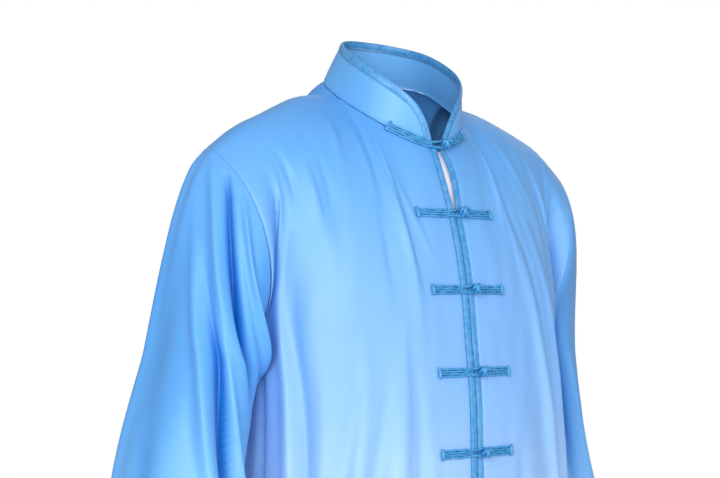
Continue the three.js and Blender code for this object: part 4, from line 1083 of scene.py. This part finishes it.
def threads(tree, uv, count_across, count_along):
    """Two sets of threads, sin(x) + sin(y) on the cloth's own coordinates, as one height from 0 to 1."""
    split = add(tree, "ShaderNodeSeparateXYZ")
    join(tree, uv, split.inputs["Vector"])
    total = None
    for axis, count in (("X", count_across), ("Y", count_along)):
        turns = add(tree, "ShaderNodeMath", operation="MULTIPLY")
        turns.inputs[1].default_value = count * 2 * np.pi
        join(tree, split.outputs[axis], turns.inputs[0])
        wave = add(tree, "ShaderNodeMath", operation="SINE")
        join(tree, turns.outputs[0], wave.inputs[0])
        if total is None:
            total = wave.outputs[0]
        else:
            both = add(tree, "ShaderNodeMath", operation="ADD")
            join(tree, total, both.inputs[0])
            join(tree, wave.outputs[0], both.inputs[1])
            total = both.outputs[0]
    return remap(tree, total, -2, 2, 0, 1)


def bump(tree, height, distance, strength, before=None):
    """A bump node, laid over an earlier one if there is one."""
    node = add(tree, "ShaderNodeBump")
    node.inputs["Distance"].default_value = distance
    node.inputs["Strength"].default_value = strength
    join(tree, height, node.inputs["Height"])
    if before is not None:
        join(tree, before, node.inputs["Normal"])
    return node.outputs["Normal"]


def paint_fold_shade(tree, color, deep):
    """Painted fold shade: the colour is multiplied by a deeper one by the hollow, standing in for light that
    bounces from wall to wall in a fold.
    """
    hollow = add(tree, "ShaderNodeAttribute", attribute_name="hollow")
    blend = add(tree, "ShaderNodeMix", data_type="RGBA", blend_type="MULTIPLY")
    blend.inputs["B"].default_value = (*deep, 1)
    join(tree, hollow.outputs["Fac"], blend.inputs["Factor"])
    join(tree, color, blend.inputs["A"])
    return blend.outputs["Result"]


def silk(name, stops, gloss=(0.4, 0.54), sheen=0.12, weave=2400, deep=(0.85, 0.94, 0.99)):
    """Dyed silk: a colour ramp over height, uneven dye and gloss, fine threads, a faint crumple, and painted
    shade in the folds.
    """
    stuff, tree, shader = start_finish(name)
    place = add(tree, "ShaderNodeTexCoord")
    split = add(tree, "ShaderNodeSeparateXYZ")
    join(tree, place.outputs["Object"], split.inputs["Vector"])
    drift = remap(tree, noise(tree, place.outputs["Object"], 5.0), 0.3, 0.7, -0.03, 0.03)
    level = add(tree, "ShaderNodeMath", operation="ADD")
    join(tree, split.outputs["Z"], level.inputs[0])
    join(tree, drift, level.inputs[1])
    top, foot = stops[0][0], stops[-1][0]
    ramp = add(tree, "ShaderNodeValToRGB")
    ramp.color_ramp.interpolation = "B_SPLINE"
    elements = ramp.color_ramp.elements
    for k, (z, code) in enumerate(stops):
        at = (z - top) / (foot - top)
        element = elements[k] if k < 2 else elements.new(at)
        element.position = at
        element.color = dye(code)
    join(tree, remap(tree, level.outputs[0], top, foot, 0, 1), ramp.inputs["Fac"])
    cloud = remap(tree, noise(tree, place.outputs["Object"], 14.0, 3.0, (1, 1, 0.35)), 0.3, 0.7, 0.96, 1.03)
    weft = threads(tree, place.outputs["UV"], weave, weave)
    grain = remap(tree, weft, 0, 1, 0.97, 1.02)
    # Painted shade: the dyed colour is multiplied towards the deep colour where the cloth lies deep in a
    # fold.
    dye_and_fold_shade = paint_fold_shade(tree, multiply(tree, multiply(tree, ramp.outputs["Color"], cloud), grain), deep)
    join(tree, dye_and_fold_shade, shader.inputs["Base Color"])
    uneven = noise(tree, place.outputs["Object"], 22.0, 3.0, (1, 1, 0.3))
    join(tree, remap(tree, uneven, 0.3, 0.7, *gloss), shader.inputs["Roughness"])
    soft = noise(tree, place.outputs["Object"], 60.0, 3.0, (1, 1, 0.4))
    first = bump(tree, soft, 0.0015, 0.12)
    join(tree, bump(tree, weft, 0.00006, 0.35, first), shader.inputs["Normal"])
    hold(shader, {"Specular IOR Level": 0.45, "Sheen Weight": sheen, "Sheen Roughness": 0.4,
                  "Sheen Tint": (0.6, 0.8, 1.0, 1)})
    return stuff


def satin(name, codes, gloss, strand):
    """Satin for bindings and cords: fine slanting strands on the UVs in relief, a darker shade with a painted
    sheen in the paler one over them, and a tight gloss.
    """
    stuff, tree, shader = start_finish(name)
    place = add(tree, "ShaderNodeTexCoord")
    wave = add(tree, "ShaderNodeTexWave", wave_type="BANDS", bands_direction="DIAGONAL")
    wave.inputs["Scale"].default_value = strand
    wave.inputs["Distortion"].default_value = 1.5
    wave.inputs["Detail"].default_value = 2.0
    join(tree, place.outputs["UV"], wave.inputs["Vector"])
    cloud = noise(tree, place.outputs["Object"], 160.0, 3.0)
    # Painted sheen: the paler code is laid over the darker one in slanting bands along the strands, made
    # uneven by noise.
    blend = add(tree, "ShaderNodeMix", data_type="RGBA")
    blend.inputs["A"].default_value = dye(codes[0])
    blend.inputs["B"].default_value = dye(codes[1])
    mixed = add(tree, "ShaderNodeMath", operation="MULTIPLY_ADD")
    mixed.inputs[1].default_value = 0.45
    join(tree, wave.outputs["Fac"], mixed.inputs[0])
    join(tree, remap(tree, cloud, 0.3, 0.7, 0.0, 0.55), mixed.inputs[2])
    join(tree, mixed.outputs[0], blend.inputs["Factor"])
    join(tree, blend.outputs["Result"], shader.inputs["Base Color"])
    join(tree, remap(tree, cloud, 0.3, 0.7, *gloss), shader.inputs["Roughness"])
    first = bump(tree, cloud, 0.0003, 0.2)
    join(tree, bump(tree, wave.outputs["Fac"], 0.0002, 0.35, first), shader.inputs["Normal"])
    hold(shader, {"Specular IOR Level": 0.6, "Sheen Weight": 0.1, "Sheen Roughness": 0.3,
                  "Sheen Tint": (0.5, 0.8, 1.0, 1)})
    return stuff


STUFFS = {
    # Each silk's deep colour is painted shade for its folds: faint on the body, strong blue on the sleeves.
    "body": silk("dyed_silk_body", [(0.03, "3f90de"), (-0.1, "68a8e4"), (-0.24, "70a6e5"), (-0.38, "84b3ea"),
                                    (-0.56, "b2cef0"), (-0.74, "dfebf7")]),
    "sleeve": silk("dyed_silk_sleeves", [(-0.05, "62a2e2"), (-0.22, "4c98e2"), (-0.42, "66aae8"),
                                         (-0.56, "92c3ee"), (-0.68, "c4ddf3")], deep=(0.03, 0.38, 0.66)),
    "collar": silk("dyed_silk_collar", [(0.09, "6ab0e8"), (-0.05, "589fe2")]),
    "trousers": silk("pale_silk_trousers", [(-0.43, "e2f0fc"), (-1.4, "eef5fb")], sheen=0.2),
    "underlap": silk("pale_cotton_underlap", [(0.0, "ece6f2"), (-0.74, "f0ecf4")], (0.7, 0.85), 0.1, 1400),
    # The second code of each satin is its painted sheen.
    "binding": satin("satin_bindings", ("2a7cbc", "5aa6dd"), (0.22, 0.36), 900),
    "cord": satin("satin_cords", ("1b74b3", "4aa3da"), (0.2, 0.32), 700),
}
for piece, stuff in PIECES.values():
    piece.data.materials.append(STUFFS[stuff])
print("finishes:", ", ".join(STUFFS))

# %% [markdown]

# %% [markdown]
# The stage is a pale floor under plain soft light. The camera stands 1.8 m from the wearer's axis, turned 38
# degrees to the wearer's right and level, as in the photograph.

# %% Floor, light and camera
FLOOR = -1.45
VIEW = np.array([0.616, 0.788, 0.0])
RIGHT = np.array([0.788, -0.616, 0.0])
disc = np.linspace(0, 2 * np.pi, 96, endpoint=False)
points = np.stack([3 * np.cos(disc), 3 * np.sin(disc), np.full(96, FLOOR)], -1)
mesh = bpy.data.meshes.new("floor")
mesh.from_pydata(points, [], [list(range(96))])
floor = bpy.data.objects.new("floor", mesh)
bpy.context.scene.collection.objects.link(floor)
stuff, tree, shader = start_finish("pale_floor")
place = add(tree, "ShaderNodeTexCoord")
cloud = remap(tree, noise(tree, place.outputs["Object"], 6.0), 0.3, 0.7, 0.76, 0.8)
pale = add(tree, "ShaderNodeCombineColor")
for channel in ("Red", "Green", "Blue"):
    join(tree, cloud, pale.inputs[channel])
join(tree, pale.outputs["Color"], shader.inputs["Base Color"])
shader.inputs["Roughness"].default_value = 0.7
mesh.materials.append(stuff)


def soft_light(name, place, size, power):
    """A square area light that faces the chest."""
    lamp = bpy.data.lights.new(name, "AREA")
    lamp.size = size
    lamp.energy = power
    light = bpy.data.objects.new(name, lamp)
    light.location = place
    aim = np.array([0, 0, -0.3]) - np.array(place)
    light.rotation_euler = Vector(aim).to_track_quat("-Z", "Y").to_euler()
    bpy.context.scene.collection.objects.link(light)


soft_light("key", -2.3 * VIEW - 0.4 * RIGHT + (0, 0, 0.2), 1.3, 46)
soft_light("fill", -1.9 * VIEW + 1.7 * RIGHT + (0, 0, 0.1), 1.5, 24)
soft_light("top", (-0.1, -0.2, 2.2), 1.6, 4)
soft_light("rim", 2.0 * VIEW + 0.4 * RIGHT + (0, 0, 1.2), 1.5, 7)

world = bpy.data.worlds.new("studio")
bpy.context.scene.world = world
world.use_nodes = True
sky = world.node_tree.nodes["Background"]
sky.inputs["Color"].default_value = (1, 1, 1, 1)
seen = add(world.node_tree, "ShaderNodeLightPath")
glow = add(world.node_tree, "ShaderNodeMapRange")
glow.inputs["To Min"].default_value = 0.37
glow.inputs["To Max"].default_value = 1.0
join(world.node_tree, seen.outputs["Is Camera Ray"], glow.inputs["Value"])
join(world.node_tree, glow.outputs["Result"], sky.inputs["Strength"])

lens_data = bpy.data.cameras.new("camera")
lens_data.lens = 81
lens_data.sensor_width = 36
lens_data.shift_x = -0.0472
lens_data.shift_y = 0.0847
camera = bpy.data.objects.new("camera", lens_data)
camera.location = (*(-1.8 * VIEW[:2]), -0.22)
camera.rotation_euler = (np.pi / 2, 0, np.arctan2(-VIEW[0], VIEW[1]))
bpy.context.scene.collection.objects.link(camera)
bpy.context.scene.camera = camera
bpy.context.scene.view_settings.view_transform = "Standard"
print("camera at", [round(c, 3) for c in camera.location])
